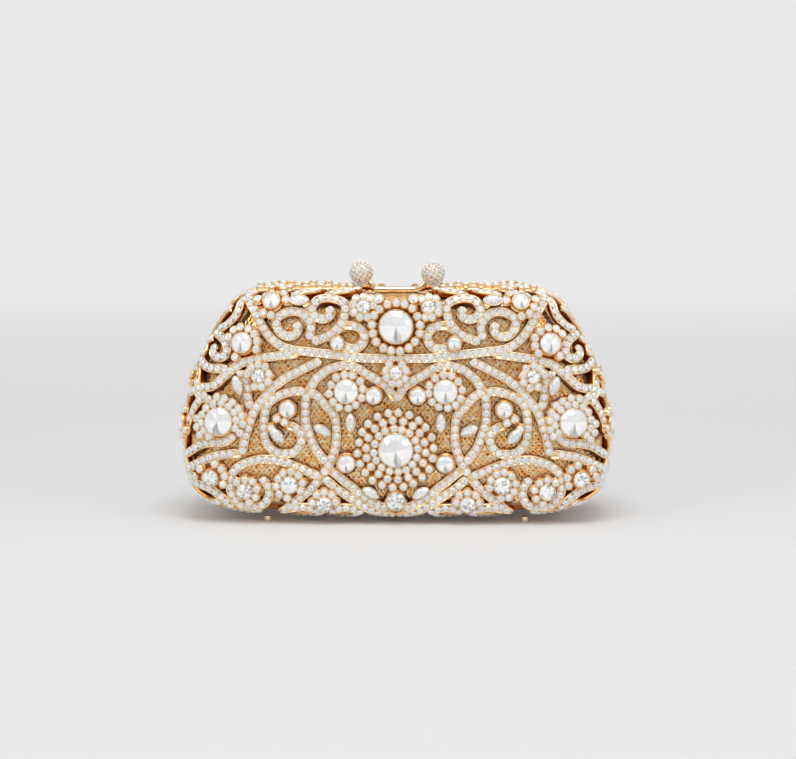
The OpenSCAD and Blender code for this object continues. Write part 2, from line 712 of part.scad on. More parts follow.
module rear_clasp_horn() {
    color("gold") rear() clasp_horn();
}

module front_clasp_ball() {
    color("lavender") front() clasp_ball();
}

module rear_clasp_ball() {
    color("lavender") rear() clasp_ball();
}

module front_hinge_leaf_left() {
    color("gold") front() hinge_leaf(-hinge_x, [1]);
}

module front_hinge_leaf_right() {
    color("gold") front() hinge_leaf(hinge_x, [1]);
}

module rear_hinge_leaf_left() {
    color("gold") rear() hinge_leaf(hinge_x, [0, 2]);
}

module rear_hinge_leaf_right() {
    color("gold") rear() hinge_leaf(-hinge_x, [0, 2]);
}

module front_feet() {
    color("gold") front() feet();
}

module rear_feet() {
    color("gold") rear() feet();
}

module hinge_pin_left() {
    color("gold") hinge_pin(-hinge_x);
}

module hinge_pin_right() {
    color("gold") hinge_pin(hinge_x);
}

front_cage();
front_settings();
front_mesh_tray();
front_lining();
front_frame();
front_centre_crystals();
front_large_crystals();
front_round_crystals();
front_rosette_crystals();
front_navette_crystals();
front_side_crystals();
front_clasp_horn();
front_clasp_ball();
front_hinge_leaf_left();
front_hinge_leaf_right();
front_feet();
rear_cage();
rear_settings();
rear_mesh_tray();
rear_lining();
rear_frame();
rear_centre_crystals();
rear_large_crystals();
rear_round_crystals();
rear_rosette_crystals();
rear_navette_crystals();
rear_side_crystals();
rear_clasp_horn();
rear_clasp_ball();
rear_hinge_leaf_left();
rear_hinge_leaf_right();
rear_feet();
hinge_pin_left();
hinge_pin_right();
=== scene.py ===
"""Openwork minaudiere: two gilt cages set with crystals over woven mesh, hinged at the foot.

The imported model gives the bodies, and keeps its frames, clasp horns, hinges and feet. Each other
piece is made for the front half, and a copy turned round the upright axis makes the rear half.
Sizes are in millimetres, and the meshes, the camera, the floor and the lamps are in metres.
"""
import math
import random

import bpy
import numpy as np
from mathutils import Matrix, Vector


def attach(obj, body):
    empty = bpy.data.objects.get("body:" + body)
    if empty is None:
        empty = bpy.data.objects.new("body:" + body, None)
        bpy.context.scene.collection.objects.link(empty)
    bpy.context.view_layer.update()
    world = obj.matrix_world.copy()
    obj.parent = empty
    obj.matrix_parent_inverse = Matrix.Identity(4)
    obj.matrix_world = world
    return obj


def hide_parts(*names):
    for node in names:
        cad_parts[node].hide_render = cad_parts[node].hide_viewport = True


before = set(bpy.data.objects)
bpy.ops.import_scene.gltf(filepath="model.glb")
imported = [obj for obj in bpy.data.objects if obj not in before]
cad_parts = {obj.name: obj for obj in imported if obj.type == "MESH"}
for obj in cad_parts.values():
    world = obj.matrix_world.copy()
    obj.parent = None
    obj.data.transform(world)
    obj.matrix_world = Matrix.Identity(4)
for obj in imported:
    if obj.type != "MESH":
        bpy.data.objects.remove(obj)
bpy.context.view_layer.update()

MM = 0.001      # one millimetre in metres
random.seed(7)
scene = bpy.context.scene
scene.view_settings.view_transform = "Standard"


# Camera.
# A long lens 1.2 m away looks down 8 degrees, from a shade to the right of the middle.
LENS, SENSOR, DISTANCE = 126.8, 36.0, 1.2
FROM_RIGHT, FROM_ABOVE = math.radians(1.2), math.radians(8)
LOOK_AT = Vector((0.0004, 0, 0.0581))

lens = bpy.data.cameras.new("camera")
lens.sensor_width, lens.lens = SENSOR, LENS
camera = bpy.data.objects.new("camera", lens)
away = Vector((math.sin(FROM_RIGHT) * math.cos(FROM_ABOVE),
               -math.cos(FROM_RIGHT) * math.cos(FROM_ABOVE), math.sin(FROM_ABOVE)))
camera.location = LOOK_AT + away * DISTANCE
camera.rotation_euler = (-away).to_track_quat("-Z", "Y").to_euler()
scene.collection.objects.link(camera)
scene.camera = camera


# Floor and backdrop.
# One matt pale sheet lies flat under the case and curves up far behind it. It keeps the case's
# shadow in front, and shows its own plain colour further back. Near the case its colour is painted
# paler, a painted pool of light, and a small share of plain, unlit colour lightens the shadow
# there.
SHEET_HALF_W, SHEET_FRONT, SHEET_BACK, SHEET_CURVE_R, SHEET_TOP = 7.0, -7.0, 2.5, 1.0, 5.0
# Paper colour by distance from the middle: paler near the case, a painted pool of light.
PAINTED_LIGHT_NEAR_CASE, FAR_OFF = (0.08, "F1F1F1"), (0.3, "EAEAEA")      # metres from the middle, colour
PLAIN_FROM, PLAIN_TO, PLAIN_UNDER_CASE = 0.1, 0.9, 0.04     # metres behind, share of plain colour


def srgb(code):
    """Linear colour of an sRGB hex code."""
    shares = [int(code[i:i + 2], 16) / 255 for i in (0, 2, 4)]
    return [c / 12.92 if c <= 0.04045 else ((c + 0.055) / 1.055) ** 2.4 for c in shares] + [1]


def add(tree, kind, settings=(), links=()):
    """Adds a node, sets its fields, its colour stops or its sockets, and links its sockets."""
    made = tree.nodes.new(kind)
    made.location.x = 200 * len(tree.nodes)
    for name, value in dict(settings).items():
        if name == "stops":
            stops = made.color_ramp.elements
            while len(stops) < len(value):
                stops.new(1)
            for stop, (at, code) in zip(stops, value):
                stop.position, stop.color = at, srgb(code)
        elif isinstance(name, str) and hasattr(made, name):
            setattr(made, name, value)
        else:
            made.inputs[name].default_value = value
    for name, source in dict(links).items():
        tree.links.new(source, made.inputs[name])
    return made


def finish(name, settings):
    """New material with the plain values of its shader set."""
    paint = bpy.data.materials.new(name)
    paint.use_nodes = True
    shader = paint.node_tree.nodes["Principled BSDF"]
    for socket, value in settings.items():
        shader.inputs[socket].default_value = value
    return paint, paint.node_tree, shader


# Matt paper: no highlight to speak of, and paler near the case as a painted pool of light.
PAPER, tree, shader = finish("matt_paper", {"Roughness": 0.6, "Specular IOR Level": 0.2})
place = add(tree, "ShaderNodeNewGeometry")
reach = add(tree, "ShaderNodeVectorMath", {"operation": "LENGTH"}, {0: place.outputs["Position"]})
tone = add(tree, "ShaderNodeValToRGB", {"stops": (PAINTED_LIGHT_NEAR_CASE, FAR_OFF)},
           {"Fac": reach.outputs["Value"]})
parts = add(tree, "ShaderNodeSeparateXYZ", {}, {0: place.outputs["Position"]})
back = add(tree, "ShaderNodeMapRange",
           {"From Min": PLAIN_FROM, "From Max": PLAIN_TO, "To Min": PLAIN_UNDER_CASE},
           {"Value": parts.outputs["Y"]})
ray = add(tree, "ShaderNodeLightPath")
indirect = add(tree, "ShaderNodeMath", {"operation": "MAXIMUM"},
               {0: ray.outputs["Is Glossy Ray"], 1: ray.outputs["Is Transmission Ray"]})
seen = add(tree, "ShaderNodeMath", {"operation": "MAXIMUM"},
           {0: ray.outputs["Is Camera Ray"], 1: indirect.outputs[0]})
share = add(tree, "ShaderNodeMath", {"operation": "MULTIPLY"},
            {0: back.outputs[0], 1: seen.outputs[0]})
plain = add(tree, "ShaderNodeEmission", {"Strength": 1}, {"Color": tone.outputs["Color"]})
mix = add(tree, "ShaderNodeMixShader", {},
          {0: share.outputs[0], 1: shader.outputs[0], 2: plain.outputs[0]})
tree.links.new(tone.outputs["Color"], shader.inputs["Base Color"])
tree.links.new(mix.outputs[0], tree.nodes["Material Output"].inputs["Surface"])

profile = [(SHEET_FRONT, 0), (SHEET_BACK, 0)]
profile += [(SHEET_BACK + SHEET_CURVE_R * math.sin(a), SHEET_CURVE_R * (1 - math.cos(a)))
            for a in np.radians(range(10, 91, 10))]
profile += [(SHEET_BACK + SHEET_CURVE_R, SHEET_TOP)]
sheet = bpy.data.meshes.new("floor")
sheet.from_pydata([(x, y, z) for y, z in profile for x in (-SHEET_HALF_W, SHEET_HALF_W)], [],
                  [(2 * i, 2 * i + 1, 2 * i + 3, 2 * i + 2) for i in range(len(profile) - 1)])
sheet.polygons.foreach_set("use_smooth", [True] * len(sheet.polygons))
sheet.materials.append(PAPER)
floor = bpy.data.objects.new("floor", sheet)
scene.collection.objects.link(floor)


# Studio light.
# One large soft lamp hangs over the case and two small ones stand at its sides, in a plain room
# that is pale above and greyer below.
LAMPS = {"over": ((0.05, -0.5, 1.3), 0.7, 6.0), "left": ((-0.75, -0.85, 0.75), 0.35, 1.6),
         "right": ((0.85, -0.7, 0.6), 0.35, 1.1)}    # place, side and watts
LAMP_AIM = Vector((0, 0, 0.05))
# The room's greys from straight down to straight up, and how bright it is.
ROOM_TONES, ROOM_LEVEL = ((0, "8C8C8C"), (0.46, "9A9A9A"), (0.56, "D2D2D2"), (0.8, "FFFFFF")), 0.66

for name, (at, side, watts) in LAMPS.items():
    light = bpy.data.lights.new("lamp_" + name, "AREA")
    light.shape, light.size, light.energy = "SQUARE", side, watts
    lamp = bpy.data.objects.new("lamp_" + name, light)
    lamp.location = at
    lamp.rotation_euler = (LAMP_AIM - Vector(at)).to_track_quat("-Z", "Y").to_euler()
    scene.collection.objects.link(lamp)

scene.world = bpy.data.worlds.new("room")
scene.world.use_nodes = True
tree = scene.world.node_tree
way = add(tree, "ShaderNodeTexCoord")
parts = add(tree, "ShaderNodeSeparateXYZ", {}, {0: way.outputs["Generated"]})
height = add(tree, "ShaderNodeMapRange", {"From Min": -1}, {"Value": parts.outputs["Z"]})
tone = add(tree, "ShaderNodeValToRGB", {"stops": ROOM_TONES}, {"Fac": height.outputs[0]})
tree.links.new(tone.outputs["Color"], tree.nodes["Background"].inputs["Color"])
tree.nodes["Background"].inputs["Strength"].default_value = ROOM_LEVEL


# Frames, clasp horns, hinges and feet.
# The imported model's own solids: brass, turned, bent or stamped, then gilt and polished. Frames
# are brazed into the halves and feet to the cage. Horns are pegged and leaves let into the frames.
POLISH_TONES = ((0, "FBEACA"), (0.3, "F0D6A6"))
PATCH_SHARE, PATCH_LEVEL = 0.45, 0.2    # how much the patches darken, and what is taken off for it
ROUGH_RANGE, DENT_H = (0.7, 1.4), 0.05  # shares of the roughness, and height of the dents
POLISHED_ON_HALF = ("frame", "clasp_horn", "hinge_leaf_left", "hinge_leaf_right", "feet")
PINS = ["hinge_pin_left", "hinge_pin_right"]


def gilt(name, tones, rough, patch, dent):
    """Gilt metal: patches of a size in mm vary its tone, polish and height, and a painted-shade
    attribute, 0 on a raised edge and 1 in a recess, darkens its hollows with painted shade."""
    paint, tree, shader = finish(name, {"Metallic": 1})
    way = add(tree, "ShaderNodeTexCoord")
    patches = add(tree, "ShaderNodeTexNoise", {"Scale": 1 / (patch * MM), "Detail": 3},
                  {"Vector": way.outputs["Object"]}).outputs["Fac"]
    deep = add(tree, "ShaderNodeAttribute", {"attribute_name": "deep"})
    lower = add(tree, "ShaderNodeMath", {"operation": "SUBTRACT", 1: PATCH_LEVEL},
                {0: deep.outputs["Fac"]})
    shade = add(tree, "ShaderNodeMath", {"operation": "MULTIPLY_ADD", 1: PATCH_SHARE},
                {0: patches, 2: lower.outputs[0]})
    tone = add(tree, "ShaderNodeValToRGB", {"stops": tones}, {"Fac": shade.outputs[0]})
    spread = add(tree, "ShaderNodeMapRange",
                 {"To Min": rough * ROUGH_RANGE[0], "To Max": rough * ROUGH_RANGE[1]},
                 {"Value": patches})
    bump = add(tree, "ShaderNodeBump", {"Strength": dent, "Distance": DENT_H * MM},
               {"Height": patches})
    tree.links.new(tone.outputs["Color"], shader.inputs["Base Color"])
    tree.links.new(spread.outputs[0], shader.inputs["Roughness"])
    tree.links.new(bump.outputs[0], shader.inputs["Normal"])
    return paint


# Polished gilt: near a mirror, with slow waves 2 mm across left by the wheel.
POLISHED = gilt("polished_gilt", POLISH_TONES, rough=0.14, patch=2.0, dent=0.03)
for name in [half + part for half in ("front_", "rear_") for part in POLISHED_ON_HALF] + PINS:
    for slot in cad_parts[name].material_slots:
        slot.material = POLISHED


# Linings.
# A dished tray of 1 mm card in each half, covered in gold leatherette and pressed into the mesh
# behind it. Its outer face is 5 mm inside the case's outline.
LINING_OUT, LINING_IN, PEBBLE, PEBBLE_H = 5.0, 6.0, 0.6, 0.1
# The case without its stones: its size, and how far its sides and faces lean in and are bowed.
CASE_W, CASE_D, CASE_H, WIDEST_Z, GROUND = 183.0, 56.0, 98.5, 33.0, 1.6
HALF_W, HALF_D, FACE_H = CASE_W / 2, CASE_D / 2, CASE_H - GROUND
SIDE_LEAN, FACE_LEAN, FACE_BOW = 25.5, 8.0, 1.5
# Powers of its rounded outline and faces, and of their leans.
SIDE_POWER, TOP_POWER, FOOT_POWER, ROUND_POWER = 7, 40, 3, 3
SIDE_LEAN_POWER, FACE_LEAN_POWER, BOW_SHARE = 2.1, 1.5, 0.13
# How the faces round over to its sides, its top and its foot.
SIDE_ROUND, TOP_ROUND, FOOT_ROUND = 2, 1, 6
EDGE_Y, TINY = 2.4, 0.02        # where cage and trays end, and a length too small to see
# A tray's corners: degrees apart in the front view, then rings at shares of the half's depth and,
# inside the last of them, at shares of its reach.
TRAY_STEP, TRAY_LEVELS = 2.5, (.2, .35, .5, .63, .74, .82, .88, .93, .965, .985)
TRAY_REACHES = (.85, .65, .4, .2)


def rise(z, inset):
    """How far a level is from the widest one, up to the top or down to the underside: 0 to 1."""
    if z > WIDEST_Z:
        return (z - WIDEST_Z) / (CASE_H - inset - WIDEST_Z)
    return (WIDEST_Z - z) / (WIDEST_Z - GROUND - inset)


def half_width(z, inset):
    """Half of the case's width at a level."""
    lean = SIDE_LEAN * rise(z, inset) ** SIDE_LEAN_POWER if z > WIDEST_Z else 0
    return max(TINY, HALF_W - inset - lean)


def half_depth(x, z, inset):
    """Half of the case's depth at a place of the front view."""
    lean = FACE_LEAN * rise(z, inset) ** FACE_LEAN_POWER if z > WIDEST_Z else 0
    return max(TINY, HALF_D - inset - FACE_BOW * (x / half_width(z, inset)) ** 2 - lean)


def cover(x, z, inset):
    """How far out a point of the front view is: 0 in the middle, 1 on the case's outline."""
    across, up, top = abs(x) / half_width(z, inset), rise(z, inset), z > WIDEST_Z
    mix = ((1 - BOW_SHARE) * across ** SIDE_POWER + BOW_SHARE * across ** 2
           + up ** (TOP_POWER if top else FOOT_POWER))
    return mix ** (SIDE_ROUND + ((TOP_ROUND if top else FOOT_ROUND) - SIDE_ROUND) * min(1, up))


def excess(x, y, z, inset=0.0):
    """Below 0 inside the case's surface at an inset, 0 on it, above 0 outside."""
    return cover(x, z, inset) + (abs(y) / half_depth(x, z, inset)) ** ROUND_POWER - 1


def normal_at(p):
    """The way out from the case's surface at a point of it."""
    grad = [excess(*(p + e)) - excess(*(p - e))
            for e in (Vector((TINY, 0, 0)), Vector((0, TINY, 0)), Vector((0, 0, TINY)))]
    return Vector(grad).normalized()


def solve(f, high, steps=26):
    """Where a rising function crosses 0, between 0 and high."""
    low = 0.0
    for _ in range(steps):
        mid = (low + high) / 2
        low, high = (mid, high) if f(mid) < 0 else (low, mid)
    return (low + high) / 2


def at_depth(angle, y, inset=0.0):
    """Point of the surface at a distance in front of the parting plane, on a ray of the view."""
    c, s = math.cos(angle), math.sin(angle)
    r = solve(lambda r: excess(r * c, y, WIDEST_Z + r * s, inset), CASE_W)
    return Vector((r * c, -y, WIDEST_Z + r * s))


def at_level(angle, level, inset=0.0, reach=1.0):
    """Point of the surface on a ray of the view, at a share of the depth of the half there."""
    c, s = math.cos(angle), math.sin(angle)
    r = reach * solve(
        lambda r: cover(r * c, WIDEST_Z + r * s, inset) - 1 + level ** ROUND_POWER, CASE_W)
    return surface_at(r * c, WIDEST_Z + r * s, inset)


def surface_at(x, z, inset=0.0):
    """Point of the front half's surface at a place of the front view."""
    y = half_depth(x, z, inset) * max(0, 1 - cover(x, z, inset)) ** (1 / ROUND_POWER)
    return Vector((x, -y, z))


def polar(a, r, h=0.0):
    """Point at an angle, a radius and a height."""
    return Vector((r * math.cos(a), r * math.sin(a), h))


def between_rings(n, last):
    """Faces between rings of n points, numbered ring by ring."""
    return [(i * n + j, i * n + (j + 1) % n, (i + 1) * n + (j + 1) % n, (i + 1) * n + j)
            for i in range(last) for j in range(n)]


def mark(mesh, name, values, kind="FLOAT", domain="POINT"):
    """Stores a value for each point or face, for the material or the node tree to read."""
    data = mesh.attributes.new(name, kind, domain).data
    data.foreach_set("vector" if kind == "FLOAT_VECTOR" else "value", values)


class Work:
    """The vertices and faces of one piece, in millimetres."""

    def __init__(self):
        self.verts, self.faces, self.smooth = [], [], []
        # Painted shade, given for each vertex.
        self.deep = []      # of each vertex: 0 on a bright raised edge, 1 in a dark recess
        # Painted reflection, as a grey for each face of a crystal.
        self.tones = []     # of each face of a crystal: greyness, 1 for white

    def join(self, verts, faces, smooth=True, deep=None):
        """Adds a mesh."""
        start = len(self.verts)
        self.verts += [tuple(v) for v in verts]
        self.faces += [tuple(start + i for i in face) for face in faces]
        self.smooth += [smooth] * len(faces)
        self.deep += [0.0] * len(verts) if deep is None else list(deep)

    def loft(self, rings, deep):
        """A closed skin over rings of points, with painted shade given for each ring or each
        point.
        """
        n, last = len(rings[0]), len(rings) - 1
        faces = between_rings(n, last)
        faces += [tuple(reversed(range(n))), tuple(last * n + j for j in range(n))]
        if len(deep) == len(rings):
            deep = [d for d in deep for _ in range(n)]
        self.join([p for ring in rings for p in ring], faces, deep=deep)

    def turn(self, profile, place, sides):
        """A turned part: the profile's radius, height and painted shade from its foot up."""
        turns = [2 * math.pi * k / sides for k in range(sides)]
        self.loft([[place @ polar(a, r, h) for a in turns] for r, h, _ in profile],
                  [deep for _, _, deep in profile])

    def piece(self, name, paint, unit=MM):
        """The finished mesh as an object, with its painted shade as an attribute."""
        mesh = bpy.data.meshes.new(name)
        mesh.from_pydata([tuple(c * unit for c in v) for v in self.verts], [], self.faces)
        mesh.polygons.foreach_set("use_smooth", self.smooth)
        mesh.materials.append(paint)
        mark(mesh, "deep", self.deep)
        mesh.update()
        made = bpy.data.objects.new(name, mesh)
        scene.collection.objects.link(made)
        return made


def tray(outer, inner, name, paint):
    """A dished wall between two insets of the case, open at the parting plane."""
    work = Work()
    angles = [math.radians(a) for a in np.arange(0, 360, TRAY_STEP)]
    n = len(angles)
    for inset, turned in ((outer, False), (inner, True)):
        rings = [[at_depth(a, EDGE_Y, inset) for a in angles]]
        rings += [[at_level(a, level, inset) for a in angles] for level in TRAY_LEVELS]
        rings += [[at_level(a, TRAY_LEVELS[-1], inset, reach) for a in angles]
                  for reach in TRAY_REACHES]
        last = len(rings) - 1
        faces = between_rings(n, last)
        faces += [(last * n + j, last * n + (j + 1) % n, (last + 1) * n) for j in range(n)]
        skin = [p for ring in rings for p in ring] + [surface_at(0, WIDEST_Z, inset)]
        work.join(skin, [face[::-1] for face in faces] if turned else faces)
    start = len(work.verts) // 2
    work.faces += [(start + j, start + (j + 1) % n, (j + 1) % n, j) for j in range(n)]
    work.smooth += [False] * n
    made = work.piece(name, paint)
    flat = made.data.uv_layers.new(name="flat_mm")
    for face in made.data.polygons:
        nx, ny, nz = (abs(c) for c in face.normal)
        for i in face.loop_indices:
            x, y, z = made.data.vertices[made.data.loops[i].vertex_index].co / MM
            flat.data[i].uv = (x, z) if ny >= max(nx, nz) else (y, z) if nx >= nz else (x, y)
    return made


def place_pair(made, slot, *nodes):
    """Puts a front piece and its twin, turned half way round, on their halves."""
    mesh = made.data.copy()
    mesh.transform(Matrix.Rotation(math.pi, 4, "Z"))
    twin = bpy.data.objects.new(made.name.replace("front_", "rear_"), mesh)
    scene.collection.objects.link(twin)
    for piece, half in ((made, "front"), (twin, "rear")):
        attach(piece, half + "_half")
        if nodes:
            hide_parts(*[half + "_" + node for node in nodes])


# Gold leatherette: a soft sheen over pebbles 0.6 mm across, darker between them.
LEATHERETTE, tree, shader = finish("gold_leatherette", {"Metallic": 0.35, "Roughness": 0.45})
way = add(tree, "ShaderNodeTexCoord")
grain = add(tree, "ShaderNodeTexVoronoi", {"Scale": 1 / (PEBBLE * MM)},
            {"Vector": way.outputs["Object"]}).outputs["Distance"]
tone = add(tree, "ShaderNodeValToRGB", {"stops": ((0, "7A5A26"), (0.5, "B08A46"))},
           {"Fac": grain})
bump = add(tree, "ShaderNodeBump", {"Strength": 0.4, "Distance": PEBBLE_H * MM},
           {"Height": grain})
tree.links.new(tone.outputs["Color"], shader.inputs["Base Color"])
tree.links.new(bump.outputs[0], shader.inputs["Normal"])

place_pair(tray(LINING_OUT, LINING_IN, "front_liner", LEATHERETTE), "lining", "lining")


# Mesh trays.
# Sheet of woven gilt wire, formed over a block and brazed to its frame, 3.6 mm inside the cage.
# Its strands are finer than the picture can show, so they are drawn 1.75 mm apart.
MESH_OUT, MESH_IN = 3.6, 4.8
STRAND_PITCH, STRAND_LEAN, STRAND_WANDER, STRAND_H = 1.75, 38, 5.5, 0.3
PAINTED_GLINT_W, PAINTED_GLINT_SHARE, STRAND_SHARE = 1.33, 0.58, 0.42
WAVE_PERIOD = 2 * math.pi / 20      # of a wave texture whose scale is 1
# Tones from the brown of painted shade in the gaps, through gold, to the pale cream of painted
# glints.
WEAVE_TONES = ((0.12, "8E360C"), (0.24, "F09438"), (0.38, "FFBC68"), (0.54, "FFCE88"),
               (0.72, "FFDCA6"), (0.88, "FFEECA"))

# Woven gilt wire: crossing strands, with painted shade in the brown gaps between them, and painted
# glints: random cells 1.33 mm across coloured up to pale cream.
WOVEN, tree, shader = finish("woven_gilt_wire", {"Metallic": 0.85, "Roughness": 0.26})
flat = add(tree, "ShaderNodeUVMap", {"uv_map": "flat_mm"}).outputs["UV"]
strands = []
for lean in (STRAND_LEAN, -STRAND_LEAN):
    turned = add(tree, "ShaderNodeMapping", {"Rotation": (0, 0, math.radians(lean))},
                 {"Vector": flat})
    strands.append(add(tree, "ShaderNodeTexWave", {
        "Scale": WAVE_PERIOD / STRAND_PITCH, "Distortion": STRAND_WANDER, "Detail": 3},
        {"Vector": turned.outputs[0]}).outputs["Fac"])
top = add(tree, "ShaderNodeMath", {"operation": "MAXIMUM"}, {0: strands[0], 1: strands[1]})
painted_glint = add(tree, "ShaderNodeTexVoronoi", {"Scale": 1 / PAINTED_GLINT_W}, {"Vector": flat})
chance = add(tree, "ShaderNodeSeparateColor", {}, {0: painted_glint.outputs["Color"]})
weave = add(tree, "ShaderNodeMath", {"operation": "MULTIPLY", 1: STRAND_SHARE},
            {0: top.outputs[0]})
light = add(tree, "ShaderNodeMath", {"operation": "MULTIPLY_ADD", 1: PAINTED_GLINT_SHARE},
            {0: chance.outputs[0], 2: weave.outputs[0]})
tone = add(tree, "ShaderNodeValToRGB", {"stops": WEAVE_TONES}, {"Fac": light.outputs[0]})
bump = add(tree, "ShaderNodeBump", {"Strength": 0.9, "Distance": STRAND_H * MM},
           {"Height": light.outputs[0]})
tree.links.new(tone.outputs["Color"], shader.inputs["Base Color"])
tree.links.new(bump.outputs[0], shader.inputs["Normal"])

place_pair(tray(MESH_OUT, MESH_IN, "front_weave", WOVEN), "gold_mesh", "mesh_tray")


# Openwork cage.
# Bands cast in one piece with the edge band, each a channel with raised rims for a row of
# crystals, then gilt and aged, with painted shade in their hollows. Every band ends in a rounded
# tip or runs under its neighbour.
BAND_W, BAND_DROP, CROSS_LIFT = 3.8, 0.45, 0.04     # crossing bands lie a shade apart in height
TIP_L, TIP_FROM, TIP_LEAST = 1.9, 0.2, 0.04         # of a band's rounded end
BAND_STEP, SCROLL_STEPS, WALL_STEPS = 1.0, 8, 6     # along a band, and between points of a path
# A band's section: across, up, and painted shade.
BAND_SECTION = [(-1.2, -3.0, 1.0), (-2.0, -2.3, 0.85), (-2.12, -1.1, 0.5), (-2.0, -0.35, 0.2),
                (-1.8, 0.05, 0.0), (-1.6, 0.12, 0.0), (-1.42, 0.0, 0.02), (-1.34, -0.25, 0.15)]
BAND_SECTION += [(-across, up, deep) for across, up, deep in reversed(BAND_SECTION)]
ROW_STONE_R, ROW_PITCH, ROW_END = 1.52, 3.2, 1.7
# Where the edge band's stones stand in raised cups, and how far they stand up.
ROOF_Z, ROOF_X, ROOF_LIFT = 88, (17, 60), (-0.8, 0.5)
# Angle of a ray of the front view, by the share of the way round from the foot to the top.
RUN_ANGLES = [(0, -90), (0.16, -37.8), (0.3, -21.1), (0.36, -12), (0.44, 0), (0.53, 13.7),
              (0.615, 27), (0.685, 38), (0.73, 44.8), (0.84, 58.6), (0.92, 73), (1, 90)]
# Each scroll of one side of the face, as shares of the half width and of the height.
SCROLLS = [
    # Long double curl from the clasp down to the middle of the face.
    [(.685, .978), (.678, .95), (.65, .908), (.612, .84), (.565, .786), (.497, .75),
     (.395, .737), (.265, .724), (.143, .711), (0, .711)],
    [(.385, .779), (.306, .808), (.268, .838), (.245, .868), (.231, .92), (.238, .946),
     (.273, .965), (.31, .972), (.354, .965), (.378, .943), (.388, .918), (.375, .893),
     (.345, .878), (.313, .884), (.296, .908), (.318, .925)],
    [(.401, .79), (.391, .83), (.391, .858), (.415, .89), (.446, .908), (.483, .911),
     (.514, .902), (.548, .88), (.549, .85), (.53, .818), (.496, .803), (.462, .812),
     (.447, .84), (.466, .86)],
    [(.306, .808), (.245, .846), (.213, .851), (.176, .845), (.149, .82), (.146, .786),
     (.173, .756), (.214, .753), (.268, .78)],
    # Shoulder hook and the short bars under it.
    [(.7, .967), (.722, .945), (.73, .92), (.742, .892), (.764, .866), (.796, .842), (.83, .828)],
    [(.844, .812), (.814, .797), (.789, .775), (.779, .75), (.783, .727), (.803, .71),
     (.83, .71), (.85, .724), (.848, .745), (.83, .752)],
    [(.864, .806), (.882, .774), (.896, .734), (.903, .707)],
    [(.915, .69), (.887, .668), (.847, .66), (.808, .66), (.771, .657)],
    # Branch from the side up to the middle, and the side's S-shaped bands.
    [(.965, .545), (.914, .573), (.878, .578), (.845, .585), (.817, .605),
     (.794, .628), (.763, .648), (.736, .671), (.709, .687), (.678, .694), (.645, .703),
     (.61, .71), (.534, .72), (.445, .73)],
    [(.343, .7), (.399, .676), (.436, .658), (.501, .627), (.534, .604), (.566, .582),
     (.589, .555), (.613, .528), (.636, .501), (.654, .474), (.668, .438), (.68, .403),
     (.694, .362), (.701, .322), (.71, .291)],
    [(.71, .291), (.746, .295), (.777, .291), (.814, .286), (.852, .276), (.887, .263),
     (.92, .246), (.947, .232), (.971, .217)],
    [(.724, .653), (.682, .6), (.682, .564), (.678, .528), (.668, .492)],
    [(.98, .28), (.947, .302), (.918, .322), (.886, .334), (.841, .342), (.801, .342),
     (.771, .353), (.74, .378)],
    [(.985, .36), (.974, .405), (.96, .44), (.944, .475), (.925, .505), (.9, .532), (.876, .552)],
    # Spiral beside the middle, and the two arches that cross round it.
    [(.417, .559), (.442, .568), (.478, .565), (.518, .555), (.552, .539), (.58, .519),
     (.596, .49), (.603, .453), (.607, .421), (.603, .388), (.599, .355), (.572, .315),
     (.541, .3), (.501, .295), (.467, .302), (.442, .329), (.432, .361), (.442, .394),
     (.473, .414), (.51, .421)],
    [(.408, .555), (.415, .519), (.415, .453), (.412, .424), (.395, .385), (.385, .352),
     (.367, .315), (.344, .286), (.32, .255)],
    [(.403, .568), (.367, .552), (.34, .529), (.313, .499), (.287, .473), (.275, .44),
     (.272, .403), (.272, .365), (.275, .331), (.286, .295), (.299, .264), (.316, .232),
     (.338, .203)],
    [(.408, .55), (.401, .564), (.385, .592), (.364, .622), (.337, .642), (.313, .66),
     (.268, .674), (.231, .68), (.197, .674), (.163, .661), (.132, .641), (.094, .622),
     (.067, .605), (.041, .589), (.02, .559), (0, .528)],
    # Low curl, and the foot's bands.
    [(.347, .197), (.388, .21), (.419, .224), (.456, .237), (.487, .25), (.545, .266),
     (.586, .27), (.62, .27), (.658, .263), (.692, .253), (.722, .237), (.746, .217),
     (.76, .184), (.763, .145), (.757, .118), (.736, .086), (.709, .059), (.668, .053),
     (.634, .059), (.603, .076), (.586, .105), (.582, .132), (.596, .164), (.623, .188)],
    [(.338, .206), (.367, .165), (.399, .132), (.436, .105), (.467, .079), (.494, .059),
     (.524, .033)],
    [(.329, .192), (.279, .147), (.248, .128), (.217, .108), (.187, .089), (.156, .072),
     (.129, .052), (.094, .034), (.05, .02), (0, .014)],
    [(.32, .232), (.293, .22), (.262, .197), (.231, .171), (.203, .152), (.18, .132),
     (.149, .108), (.119, .092), (.082, .07), (.041, .054), (0, .048)],
    [(.966, .16), (.915, .152), (.88, .145), (.845, .13), (.816, .108), (.787, .082),
     (.757, .045)],
    [(.54, .03), (.46, .055), (.4, .055), (.35, .03)],
    [(.31, .03), (.25, .055), (.2, .05), (.15, .026)],
]
# Bands of the end walls: how far round from the foot each stands, and its points forwards.
WALL_RUNS = [(.04, 5), (.11, 5), (.165, 5), (.28, 5), (.34, 5), (.4, 5), (.55, 5), (.61, 3),
             (.67, 3), (.725, 3), (.78, 5), (.84, 5), (.9, 5)]
WALL_DEPTHS, WALL_SWINGS = [.17, .35, .54, .74, .92], [-.02, .015, .02, -.014, -.02]
EDGE_END, EDGE_POINTS = 0.94, 90    # the edge band stops short of the clasp's saddle

